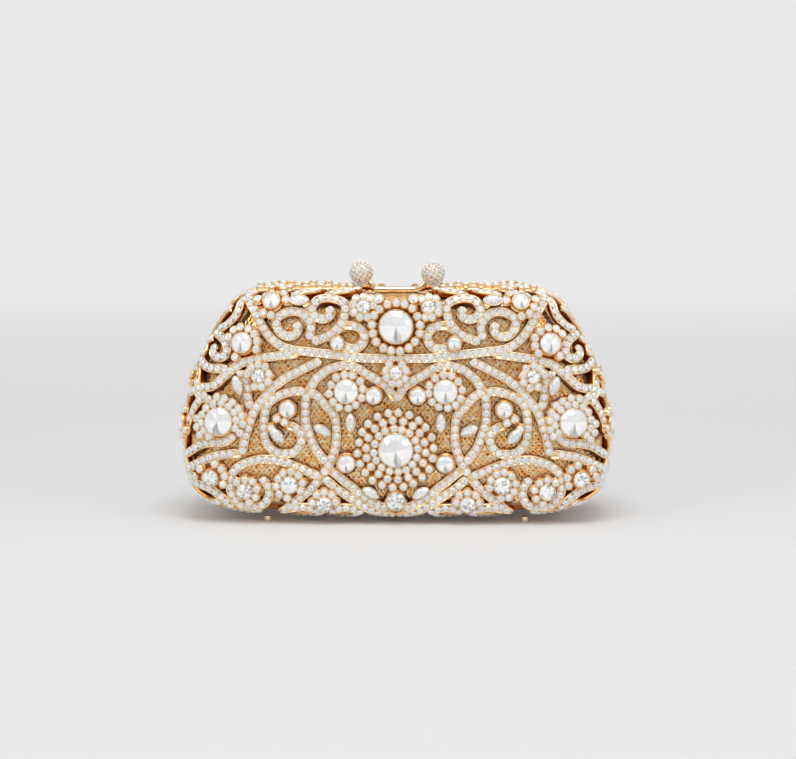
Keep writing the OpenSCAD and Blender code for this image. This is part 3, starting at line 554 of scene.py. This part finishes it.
# Aged gilt: pale on its rims, and red-brown in its hollows, where painted shade darkens it.
AGED_AND_PAINTED_SHADE_TONES = ((0, "FFEDCA"), (0.28, "F9CE92"), (0.5, "DE924A"), (0.75, "AA501C"), (1, "682208"))
AGED_GILT_AND_PAINTED_SHADE = gilt("aged_gilt", AGED_AND_PAINTED_SHADE_TONES, rough=0.26, patch=0.35, dent=0.15)


def face_at(across, up):
    """Point of the face, or of the edge band where the face has ended."""
    x, z, y = across * HALF_W, GROUND + up * FACE_H, EDGE_Y + BAND_W / 2
    if excess(x, y, z) < 0:
        return surface_at(x, z)
    return at_depth(math.atan2(z - WIDEST_Z, x), y)


def run_angle(run):
    """Angle of the ray at a share of the way round."""
    return math.radians(np.interp(run, *zip(*RUN_ANGLES)))


def curve(points, steps):
    """Smooth curve through points of the plane."""
    pts = [np.array(p, float) for p in points]
    pts = [2 * pts[0] - pts[1]] + pts + [2 * pts[-1] - pts[-2]]
    return [0.5 * (2 * b + (c - a) * t + (2 * a - 5 * b + 4 * c - d) * t ** 2
                   + (3 * b - a - 3 * c + d) * t ** 3)
            for a, b, c, d in zip(pts, pts[1:], pts[2:], pts[3:])
            for t in np.arange(steps) / steps] + [pts[-2]]


def even(points, step):
    """The same path at even steps along its length, with its length."""
    p = np.array([tuple(q) for q in points])
    s = np.concatenate([[0], np.cumsum(np.linalg.norm(np.diff(p, axis=0), axis=1))])
    at = np.linspace(0, s[-1], max(2, int(round(s[-1] / step))) + 1)
    return [Vector(v) for v in np.stack([np.interp(at, s, p[:, k]) for k in range(3)], 1)], s[-1]


def snap(p, nudge=0.1, rounds=4):
    """Brings a point near the surface onto it."""
    n = normal_at(p)
    for _ in range(rounds):
        slope = (excess(*(p + n * nudge)) - excess(*(p - n * nudge))) / (2 * nudge)
        p = p - n * (excess(*p) / slope) if abs(slope) > 1e-9 else p
    return p


def mirrored(points):
    """The same points on the other side of the case."""
    return [Vector((-p.x, p.y, p.z)) for p in points]


lines = [[face_at(a / HALF_W, b / FACE_H)
          for a, b in curve([(u * HALF_W, w * FACE_H) for u, w in scroll], SCROLL_STEPS)]
         for scroll in SCROLLS]
lines += [[at_level(run_angle(a), b) for a, b in curve(
    [(run + swing, depth) for swing, depth in zip(WALL_SWINGS[:n], WALL_DEPTHS)], WALL_STEPS)]
          for run, n in WALL_RUNS]
edge = [at_depth(run_angle(run), EDGE_Y + BAND_W / 2)
        for run in np.linspace(0, EDGE_END, EDGE_POINTS)]
lines = [path for line in lines for path in (line, mirrored(line))]
lines.append(mirrored(edge)[:0:-1] + edge)

cage = Work()
row_seats, roof_seats = [], []      # place, upright and lift of each stone
for k, line in enumerate(lines):
    pts, length = even(line, BAND_STEP)
    pts = [snap(p) for p in pts]
    lift = CROSS_LIFT * (k % 3) - BAND_DROP
    rings = []
    for i, p in enumerate(pts):
        up = normal_at(p)
        along = (pts[min(i + 1, len(pts) - 1)] - pts[max(i - 1, 0)]).normalized()
        side = along.cross(up).normalized()
        from_end = min(i, len(pts) - 1 - i) * length / (len(pts) - 1)
        full = math.sqrt(max(TIP_LEAST, 1 - max(0, 1 - (from_end + TIP_FROM) / TIP_L) ** 2))
        rings.append([p + side * (across * full) + up * (h + lift)
                      for across, h, _ in BAND_SECTION])
    cage.loft(rings, [deep for _, _, deep in BAND_SECTION] * len(rings))
    count = max(1, int(round((length - 2 * ROW_END) / ROW_PITCH)))
    for j in range(count + 1):
        at = (ROW_END + (length - 2 * ROW_END) * j / count) / length * (len(pts) - 1)
        i = min(int(at), len(pts) - 2)
        p = pts[i].lerp(pts[i + 1], at - i)
        if k == len(lines) - 1 and p.z > ROOF_Z and ROOF_X[0] < abs(p.x) < ROOF_X[1]:
            roof_seats.append((p, normal_at(p), random.uniform(*ROOF_LIFT)))
        else:
            row_seats.append((p, normal_at(p), lift))
place_pair(cage.piece("front_openwork", AGED_GILT_AND_PAINTED_SHADE), "antique_gold", "cage")


# Settings.
# Each crystal has a round or pointed cup with a rolled lip and a spread foot. A post carries it
# from the mesh tray, and a scalloped plate round it carries its rings of small cups, all
# soft-soldered and gilt.
SMALL_R, NAVETTE_L, NAVETTE_W = 1.42, 4.1, 2.1
CUP_SIDES, OVAL_SIDES, OVAL_PINCH, LIP = 32, 24, 0.25, 0.45
POST_R, POST_FOOT, POST_TOP, OVAL_POST_TOP, POST_SIDES = 1.1, -3.9, -1.5, 0.05, 8
# Sections of a round and of a pointed cup: out from the stone, up, and painted shade.
CUP_STEPS = [(1.15, -0.95, 0.6), (1.25, -0.75, 0.1), (0.5, -0.35, 0.3), (0.2, 0.05, 0.7),
             (0.42, 0.5, 0.5), (0.45, 1.2, 0.25), (0.36, 1.62, 0), (0.2, 1.72, 0),
             (0.06, 1.6, 0.1), (0.04, 1.1, 0.4)]
OVAL_STEPS = [(-0.2, 0, 1), (0.3, 0.1, 0.8), (0.42, 0.9, 0.3), (0.36, 1.5, 0), (0.1, 1.6, 0.1),
              (0.05, 1.1, 0.5)]
# Section of a plate: share of its radius, up, and painted shade.
PLATE_STEPS = [(0.97, -1.9, 0.6), (1.0, -1.3, 0.2), (0.97, -1.05, 0.3), (0.88, -1.05, 0.75),
               (0.2, -1.05, 0.75)]
PLATE_RIM, PLATE_ROOM, SCALLOP = 0.6, 0.3, (0.4, -0.5)
# The least room that small stones leave, as shares of their size, and how far a stone of a ring
# strays along it and across it.
BY_SETTING, BY_ROW, BY_RING, EDGE_ROOM = 0.8, 1.7, 0.86, 1.6
STRAY_ALONG, STRAY_ACROSS = 0.25, 0.2
NAVETTE_ROOM, NAVETTE_SPOTS = 1.7, (-0.55, 0, 0.55)
# Places as shares, radius, then the radius and count of each ring of small stones.
CRYSTALS = {
    "centre_crystals": [(0, .315, 7.1, ((9.2, 16), (12.5, 18), (16, 22))),
                        (0, .845, 6.9, ((10.2, 17),)), (0, .648, 2.6, ((4.4, 9),)),
                        (0, .092, 3.8, ())],
    "large_crystals": [(.813, .434, 5.8, ((7.6, 14), (10.1, 18))),
                       (.227, .568, 4.9, ((7.0, 12),)), (.706, .772, 4.2, ((6.6, 12),))],
    "round_crystals": [(.57, .95, 3.4, ((6.2, 11),)), (.101, .549, 3.2, ()),
                       (.497, .49, 3.2, ()), (.227, .256, 3.5, ()), (.268, .775, 2.6, ())],
    "rosette_crystals": [(.63, .631, 2.7, ((4.6, 9),)), (.852, .188, 3.2, ((6.1, 11),)),
                         (.695, .132, 3.2, ((5.2, 9),)), (.49, .161, 3.5, ((5.5, 10),)),
                         (.33, .077, 3.2, ((5.1, 9),)), (.149, .93, 2.7, ((4.5, 9),))],
    "side_crystals": []}
SINGLES = [(.08, .96, 1.8), (.545, .45, 1.4), (.51, .435, 1.4), (.57, .41, 1.3)]
# On the end walls: how far round from the foot, how far forwards, then as above.
WALL_CRYSTALS = {"side_crystals": [(.475, .5, 3.55, ((5.6, 10),))],
                 "round_crystals": [(.795, .45, 2.1, ((3.9, 7),)), (.56, .5, 1.5, ((3.0, 6),))]}
# Pointed crystals: place, size and tilt in degrees.
NAVETTES = [(.446, .955, 1, 0), (.207, .434, .9, 90), (.337, .401, .88, 25),
            (.115, .128, .88, 30), (.545, .378, .95, 45), (.726, .592, .93, 70)]

metal = Work()
taken = []              # place and radius of every stone that has its place
small_seats = []        # place, upright and lift of each stone in a small cup
stones = {name: [] for name in CRYSTALS}    # stand and radius of each large stone
ringed = []             # place, radius and rings of those with rings round them


def stand(p, spin=0.0):
    """Where a part stands at p: its Z along the surface's normal, its X as level as it can be."""
    up = normal_at(p)
    x = Vector((-up.y, up.x, 0)).normalized()
    turned = Matrix((x, up.cross(x), up)).transposed().to_4x4()
    return Matrix.Translation(p) @ turned @ Matrix.Rotation(spin, 4, "Z")


def oval(place, length, width, height, count):
    """Ring of points of a pointed oval."""
    turns = [2 * math.pi * k / count for k in range(count)]
    return [place @ Vector((length * math.cos(a),
                            width * math.sin(a) * (1 - OVAL_PINCH * math.cos(a) ** 2), height))
            for a in turns]


def scalloped_plate(place, r, count):
    """Plate that follows the case's surface, with a scallop for each small cup on its rim."""
    rings = []
    for reach, up, _ in PLATE_STEPS:
        ring = []
        for k in range(2 * count):
            a, out = math.pi * (k + 0.5) / count, (r + SCALLOP[k % 2]) * reach
            p = snap(place @ polar(a, out))
            p += normal_at(p) * up
            ring.append(Vector((p.x, min(p.y, -EDGE_Y - PLATE_ROOM), p.z)))
        rings.append(ring)
    metal.loft(rings, [deep for _, _, deep in PLATE_STEPS])


def round_settings(name, at, r, rings=()):
    """Cup and post of a round crystal, and of its twin on the other side of the middle."""
    for p in [at] if abs(at.x) < TINY else [at] + mirrored([at]):
        place = stand(p)
        taken.append((p, r + LIP))
        metal.turn([(POST_R, POST_FOOT, 1), (POST_R, POST_TOP, 1)]
                   + [(r + out, up, deep) for out, up, deep in CUP_STEPS], place, CUP_SIDES)
        stones[name].append((place, r))
        if rings:
            ringed.append((p, r, rings))


for name, spots in CRYSTALS.items():
    for across, up, r, rings in spots:
        round_settings(name, face_at(across, up), r, rings)
for name, spots in WALL_CRYSTALS.items():
    for run, level, r, rings in spots:
        round_settings(name, at_level(run_angle(run), level), r, rings)
for across, up, r in SINGLES:
    round_settings("round_crystals", face_at(across, up), r)

for p, up, lift in roof_seats:
    if all((p - q).length > r + SMALL_R * BY_SETTING for q, r in taken):
        taken.append((p, SMALL_R))
        small_seats.append((p, up, lift))

navettes = []
for across, up, size, tilt in NAVETTES:
    length, width = NAVETTE_L * size, NAVETTE_W * size
    for side in (1, -1):
        place = stand(face_at(across * side, up), math.radians(tilt if side > 0 else 180 - tilt))
        navettes.append((place, length, width))
        taken += [(place @ Vector((share * length, 0, 0)), NAVETTE_ROOM * size)
                  for share in NAVETTE_SPOTS]
        metal.loft([oval(place, length + out, width + out, height, OVAL_SIDES)
                    for out, height, _ in OVAL_STEPS], [deep for _, _, deep in OVAL_STEPS])
        metal.turn([(POST_R, POST_FOOT, 1), (POST_R, OVAL_POST_TOP, 1)], place, POST_SIDES)

rows = []
for p, up, lift in row_seats:
    if all((p - q).length > r + SMALL_R * BY_SETTING for q, r in taken) \
            and all((p - q).length > BY_ROW * ROW_STONE_R for q, _, _ in rows):
        rows.append((p, up, lift))
taken += [(p, SMALL_R) for p, _, _ in rows]

# The largest settings take their rings first, each ring half a step round from the last.
for p, _, rings in sorted(ringed, key=lambda setting: -setting[1]):
    place = stand(p)
    scalloped_plate(place, rings[-1][0] + PLATE_RIM, rings[-1][1])
    for ring, (radius, count) in enumerate(rings):
        for k in range(count):
            a = 2 * math.pi * (k + 0.5 * (ring % 2) + 0.25) / count
            a += random.uniform(-STRAY_ALONG, STRAY_ALONG) / radius
            q = snap(place @ polar(a, radius + random.uniform(-STRAY_ACROSS, STRAY_ACROSS)))
            if q.y < -EDGE_Y - EDGE_ROOM and all(
                    (q - t).length > (r + SMALL_R) * BY_RING for t, r in taken):
                taken.append((q, SMALL_R))
                small_seats.append((q, normal_at(q), 0.0))
place_pair(metal.piece("front_bezels", AGED_GILT_AND_PAINTED_SHADE), "antique_gold", "settings")


# Small cups, claws and small crystals.
# More than two thousand small stones of foil-backed glass: the rows are set in the bands'
# channels, and the rings in little stemmed cups. Claws are bent over the large crystals.
BIG_R = 4.0     # a crystal from this radius up has more claws and facets
CUP_LIFT, ROW_DROP, CLAW_LIFT = 1.15, -0.05, 1.55
CLAW_SIDES, CLAW_OUT, FEW_CLAWS, MANY_CLAWS = 6, 0.12, 6, 10
# A stone of radius 1: radius and height of its foot, girdle and table, then its point's height,
# and the greyness of its crown, its table's facets and its back, which is painted reflection.
STONE_TIERS, STONE_POINT, STONE_SIDES = ((0.8, -0.35), (1.0, 0.0), (0.6, 0.42)), 0.36, 8
CROWN_TONES, TABLE_TONES = [0.85, 1.0, 0.9], [1.0, 0.8, 1.0, 0.9, 1.0, 0.74, 0.95, 1.0]
BACK_TONE, PLAIN_POWER = 0.5, 1.6   # a higher power gives more dark points
# Sections of a cup for such a stone, and of a claw: radius, height, and painted shade.
CUP_PROFILE = [(0.5, -2.0, 1), (0.6, -1.6, 0.9), (1.66, -1.22, 0.3), (1.6, -1.04, 0.12),
               (1.16, -0.8, 0.35), (1.3, -0.05, 0.08), (1.26, 0.14, 0), (1.04, 0.12, 0),
               (0.98, -0.2, 0.3)]
CLAW_PROFILE = [(0.3, 0, 0), (0.3, 0.2, 0), (0.2, 0.4, 0), (0.05, 0.46, 0)]
GLASS_TINTS = ((0, "FFFFFF"), (0.2, "EDEDEF"), (0.4, "FCFCFD"), (0.55, "F3EEF6"),
               (0.7, "EEF5F0"), (0.85, "F8F0F0"), (1, "FFFDF6"))
# Painted reflection at a stone's middle: a grey point, white further out.
SMALL_TONES = ((0, "6C6C78"), (0.16, "C6C6CE"), (0.3, "FFFFFF"))


def foiled_glass(name, tones, rough, metallic, painted_glow):
    """Foil-backed glass. The attribute tint picks each stone's faint colour, facet greys each
    face as painted reflection, and where spot and plain are both low the stone shows its dark
    point, also painted reflection. Its white emission is a painted glow."""
    paint, tree, shader = finish(name, {
        "Metallic": metallic, "Roughness": rough, "Coat Weight": 0.6, "Coat Roughness": 0.1,
        "Emission Color": (1, 1, 1, 1), "Emission Strength": painted_glow})
    tint, spot, plain, facet = (
        add(tree, "ShaderNodeAttribute", {"attribute_name": attribute}).outputs["Fac"]
        for attribute in ("tint", "spot", "plain", "facet"))
    colour = add(tree, "ShaderNodeValToRGB", {"stops": GLASS_TINTS}, {"Fac": tint})
    clear = add(tree, "ShaderNodeMath", {"operation": "MAXIMUM"}, {0: spot, 1: plain})
    point = add(tree, "ShaderNodeValToRGB", {"stops": tones}, {"Fac": clear.outputs[0]})
    mixed = colour.outputs["Color"]
    for layer in (point.outputs["Color"], facet):
        mixed = add(tree, "ShaderNodeMix", {"data_type": "RGBA", "blend_type": "MULTIPLY", 0: 1},
                    {6: mixed, 7: layer}).outputs[2]
    tree.links.new(mixed, shader.inputs["Base Color"])
    return paint


# Small crystals: white with a hint of blue, rose or green, and a grey point at some middles. The
# point and the greys of the facets are painted reflection, and a faint white glow is painted
# light.
SMALL_GLASS = foiled_glass("small_foiled_glass", SMALL_TONES, rough=0.18, metallic=0.1,
                           painted_glow=0.03)


def setting_tree():
    """Geometry Nodes: sets a part on every point, upright on it and turned by its own turn."""
    tree = bpy.data.node_groups.new("set_on_points", "GeometryNodeTree")
    tree.interface.new_socket("Geometry", in_out="OUTPUT", socket_type="NodeSocketGeometry")
    for name, kind in (("Points", "Geometry"), ("Part", "Object"), ("Size", "Float"),
                       ("Lift", "Float"), ("Finish", "Material")):
        tree.interface.new_socket(name, in_out="INPUT", socket_type="NodeSocket" + kind)
    given = add(tree, "NodeGroupInput").outputs
    up = add(tree, "GeometryNodeInputNamedAttribute",
             {"data_type": "FLOAT_VECTOR", "Name": "up"}).outputs["Attribute"]
    turn = add(tree, "GeometryNodeInputNamedAttribute", {"data_type": "FLOAT", "Name": "turn"})
    lift = add(tree, "ShaderNodeVectorMath", {"operation": "SCALE"},
               {0: up, "Scale": given["Lift"]})
    raised = add(tree, "GeometryNodeSetPosition", {},
                 {"Geometry": given["Points"], "Offset": lift.outputs[0]})
    upright = add(tree, "FunctionNodeAlignRotationToVector", {"axis": "Z"}, {"Vector": up})
    about = add(tree, "ShaderNodeCombineXYZ", {}, {"Z": turn.outputs["Attribute"]})
    spin = add(tree, "FunctionNodeEulerToRotation", {}, {0: about.outputs[0]})
    turned = add(tree, "FunctionNodeRotateRotation", {"rotation_space": "LOCAL"},
                 {"Rotation": upright.outputs[0], "Rotate By": spin.outputs[0]})
    part = add(tree, "GeometryNodeObjectInfo", {}, {"Object": given["Part"]})
    copies = add(tree, "GeometryNodeInstanceOnPoints", {},
                 {"Points": raised.outputs[0], "Instance": part.outputs["Geometry"],
                  "Rotation": turned.outputs[0], "Scale": given["Size"]})
    real = add(tree, "GeometryNodeRealizeInstances", {}, {0: copies.outputs[0]})
    painted = add(tree, "GeometryNodeSetMaterial", {},
                  {"Geometry": real.outputs[0], "Material": given["Finish"]})
    add(tree, "NodeGroupOutput", {}, {0: painted.outputs[0]})
    return tree


SET_ON_POINTS = setting_tree()


def set_parts(name, part, seats, size, lift, paint):
    """One plain mesh of copies of a part, with a random tint, plainness and turn for each."""
    mesh = bpy.data.meshes.new(name)
    mesh.from_pydata([(p + up * extra) * MM for p, up, extra in seats], [], [])
    mark(mesh, "up", [c for _, up, _ in seats for c in up], "FLOAT_VECTOR")
    for attribute, top, power in (
            ("tint", 1, 1), ("plain", 1, PLAIN_POWER), ("turn", math.pi, 1)):
        mark(mesh, attribute, [top * random.random() ** power for _ in seats])
    made = bpy.data.objects.new(name, mesh)
    scene.collection.objects.link(made)
    setter = made.modifiers.new("set", "NODES")
    setter.node_group = SET_ON_POINTS
    values = {"Part": part, "Size": size * MM, "Lift": lift * MM, "Finish": paint}
    for socket in SET_ON_POINTS.interface.items_tree:
        if socket.name in values:
            setter[socket.identifier] = values[socket.name]
    graph = bpy.context.evaluated_depsgraph_get()
    mesh = bpy.data.meshes.new_from_object(made.evaluated_get(graph), depsgraph=graph)
    mesh.name = name
    made.modifiers.clear()
    made.data = mesh
    return made


def pointed_stone(tiers, point, n):
    """Points and faces of a round stone: a foot, a girdle and a turned tier, up to a point."""
    verts = [polar(2 * math.pi * (k + half) / n, r, h)
             for (r, h), half in zip(tiers, (0, 0, 0.5)) for k in range(n)]
    faces = []
    for k in range(n):
        j = (k + 1) % n
        faces += [(k, j, n + j, n + k), (n + k, n + j, 2 * n + k), (n + j, 2 * n + j, 2 * n + k),
                  (2 * n + k, 2 * n + j, 3 * n)]
    return verts + [Vector((0, 0, point))], faces + [tuple(range(n - 1, -1, -1))]


def small_stone():
    """Eight-sided stone of radius 1, whose point is low enough to pass for a table."""
    work = Work()
    verts, faces = pointed_stone(STONE_TIERS, STONE_POINT, STONE_SIDES)
    work.join(verts, faces, smooth=False)
    made = work.piece("small_stone", SMALL_GLASS, unit=1)
    # Painted reflection: spot greys the middle of the stone, and facet greys each face.
    mark(made.data, "spot", [min(1, math.hypot(v.x, v.y)) for v in verts])
    tones = [tone for table in TABLE_TONES for tone in CROWN_TONES + [table]]
    mark(made.data, "facet", tones + [BACK_TONE], domain="FACE")
    return made


def turned_part(name, profile, sides):
    """Turned part that is set on many points."""
    work = Work()
    work.turn(profile, Matrix.Identity(4), sides)
    return work.piece(name, AGED_GILT_AND_PAINTED_SHADE, unit=1)


claw_seats = []
for place, r in [stone for same in stones.values() for stone in same]:
    count = FEW_CLAWS if r < BIG_R else MANY_CLAWS
    for k in range(count):
        claw_seats.append((place @ polar(2 * math.pi * (k + 0.5) / count, r + CLAW_OUT),
                           place.to_3x3() @ Vector((0, 0, 1)), 0.0))

small_part = small_stone()
cup_part = turned_part("small_cup", CUP_PROFILE, STONE_SIDES)
claw_part = turned_part("claw", CLAW_PROFILE, CLAW_SIDES)
for slot, *placed in (
        ("antique_gold", "front_claws", claw_part, claw_seats, 1.0, CLAW_LIFT, AGED_GILT_AND_PAINTED_SHADE),
        ("antique_gold", "front_small_cups", cup_part, small_seats, SMALL_R, CUP_LIFT, AGED_GILT_AND_PAINTED_SHADE),
        ("crystal", "front_band_stones", small_part, rows, ROW_STONE_R, ROW_DROP, SMALL_GLASS),
        ("crystal", "front_halo_stones", small_part, small_seats, SMALL_R, CUP_LIFT,
         SMALL_GLASS)):
    place_pair(set_parts(*placed), slot)


# Large crystals.
# Pointed round stones and pointed ovals of foil-backed glass, pressed and polished, held in their
# cups by claws. Their facets' greys are painted reflection: a grey wedge at the foot, white sides
# and a paler grey head, and random greys on brilliants and ovals.
SEAT_H, ROUND_RISE, OVAL_RISE = 1.45, 0.36, 0.6
FOOT_OUT, FOOT_DROP, TIER_OUT, TIER_RISE = 0.92, 0.35, 0.62, 0.62   # of a round crystal
FEW_FACETS, MANY_FACETS, OVAL_FACETS = 12, 16, 20
# Each ring of a pointed oval: share of its size, then its rise and what it adds of the height.
OVAL_RINGS = ((0.9, -0.3, 0), (1, 0, 0), (0.62, 0, 0.7))
BIG_TONES = ((0, "78787A"), (1, "FFFFFF"))
# Painted reflection: greyness of a facet in the wedge, beside it, at the sides and at the head,
# with the flank's width and the head's start in degrees from the foot, then what girdle, slopes
# and point make of it.
WEDGE_TONE, FLANK_TONE, SIDE_TONE, HEAD_TONE, FLANK_W, HEAD_FROM = 0.4, 0.75, 1.0, 0.78, 8, 98
GIRDLE_TONE, SLOPE_SHARE, POINT_GAIN, TONE_STRAY = 0.78, 0.7, 1.04, 0.04
LEAN_RANGE, WEDGE_RANGE, OVAL_TONES = (-12, 12), (10, 20), (0.6, 1.0)
# The greys of painted reflection on a brilliant's facets.
STAR_TONES = (1.0, 0.95, 0.78, 0.42)    # of a brilliant's facets

# The same glass, polished: near-white, each facet its own grey of painted reflection, and a
# faint painted glow.
LARGE_GLASS = foiled_glass("large_foiled_glass", BIG_TONES, rough=0.16, metallic=0.15,
                           painted_glow=0.07)


def painted_reflection_tone(turn, wedge):
    """Painted reflection: greyness of a facet by its angle from the stone's foot."""
    off = abs((turn + 180) % 360 - 180)
    tone = WEDGE_TONE if off < wedge else FLANK_TONE if off < wedge + FLANK_W \
        else SIDE_TONE if off < HEAD_FROM else HEAD_TONE
    return max(0, min(1, tone + random.uniform(-TONE_STRAY, TONE_STRAY)))


def round_crystal(work, place, r, starry):
    """Pointed round crystal: a girdle, then two tiers of facets up to a low point."""
    n, height = FEW_FACETS if r < BIG_R else MANY_FACETS, r * ROUND_RISE
    tiers = ((FOOT_OUT * r, SEAT_H - FOOT_DROP), (r, SEAT_H),
             (TIER_OUT * r, SEAT_H + TIER_RISE * height))
    verts, faces = pointed_stone(tiers, SEAT_H + height, n)
    lean, wedge = random.uniform(*LEAN_RANGE), random.uniform(*WEDGE_RANGE)
    tones = []
    for k in range(n):
        here, there = (painted_reflection_tone((k + part) / n * 360 + 90 + lean, wedge) for part in (0.5, 1))
        tones += [GIRDLE_TONE, 1 - SLOPE_SHARE * (1 - here), there, min(1, there * POINT_GAIN)]
    if starry:
        tones = [random.choice(STAR_TONES) for _ in tones]
    work.join([place @ v for v in verts], faces, smooth=False)
    work.tones += tones + [BACK_TONE]


def oval_crystal(work, place, length, width):
    """Pointed oval crystal: a foot, a girdle, and two tiers of facets up to a low point."""
    n, height = OVAL_FACETS, width * OVAL_RISE
    verts = [p for share, up, more in OVAL_RINGS
             for p in oval(place, length * share, width * share, SEAT_H + up + more * height, n)]
    faces = [face for k in range(n) for j in [(k + 1) % n] for face in (
        (k, j, n + j, n + k), (n + k, n + j, 2 * n + j, 2 * n + k),
        (2 * n + k, 2 * n + j, 3 * n))] + [tuple(range(n - 1, -1, -1))]
    work.join(verts + [place @ Vector((0, 0, SEAT_H + height))], faces, smooth=False)
    work.tones += [random.uniform(*OVAL_TONES) for _ in faces]


def place_crystals(work, node):
    """Puts the crystals that stand for a node on both halves."""
    made = work.piece("front_fine_" + node, LARGE_GLASS)
    mark(made.data, "tint", [0.0] * len(work.verts))
    mark(made.data, "plain", [1.0] * len(work.verts))
    # Each face's grey of painted reflection.
    mark(made.data, "facet", work.tones, domain="FACE")
    place_pair(made, "crystal", node)


for name, same in stones.items():
    work = Work()
    for place, r in same:
        brilliant = name == "rosette_crystals" or (name == "centre_crystals" and r < BIG_R)
        round_crystal(work, place, r, brilliant)
    place_crystals(work, name)
work = Work()
for place, length, width in navettes:
    oval_crystal(work, place, length, width)
place_crystals(work, "navette_crystals")


# Clasp balls.
# A gilt ball on each horn, its whole skin drilled and set with tiny crystals. The two balls cross
# over each other, so that one snaps past the other when the case shuts.
BALL_AT, BALL_R, BALL_SIDES, BALL_RINGS, POLE_R = Vector((15.3, -1.45, 104.1)), 4.75, 32, 17, 0.001
PAVE_R, PAVE_OUT, PAVE_COUNT = 0.84, 4.85, 92       # radius, distance from the middle, number
GOLDEN_ANGLE = math.pi * (3 - math.sqrt(5))

ball = Work()
ball.turn([(BALL_R * math.sin(a) + POLE_R, -BALL_R * math.cos(a), 0)
           for a in np.linspace(0, math.pi, BALL_RINGS)],
          Matrix.Translation(BALL_AT), BALL_SIDES)
place_pair(ball.piece("front_ball", AGED_GILT_AND_PAINTED_SHADE), "pave_ball", "clasp_ball")
pave_seats = []
for k in range(PAVE_COUNT):
    z = 1 - 2 * (k + 0.5) / PAVE_COUNT
    up = polar(k * GOLDEN_ANGLE, math.sqrt(1 - z * z), z)
    pave_seats.append((BALL_AT + up * PAVE_OUT, up, 0.0))
place_pair(set_parts("front_ball_pave", small_part, pave_seats, PAVE_R, 0.0, SMALL_GLASS),
           "crystal")

for part in (small_part, cup_part, claw_part):      # the patterns that were copied
    bpy.data.objects.remove(part)
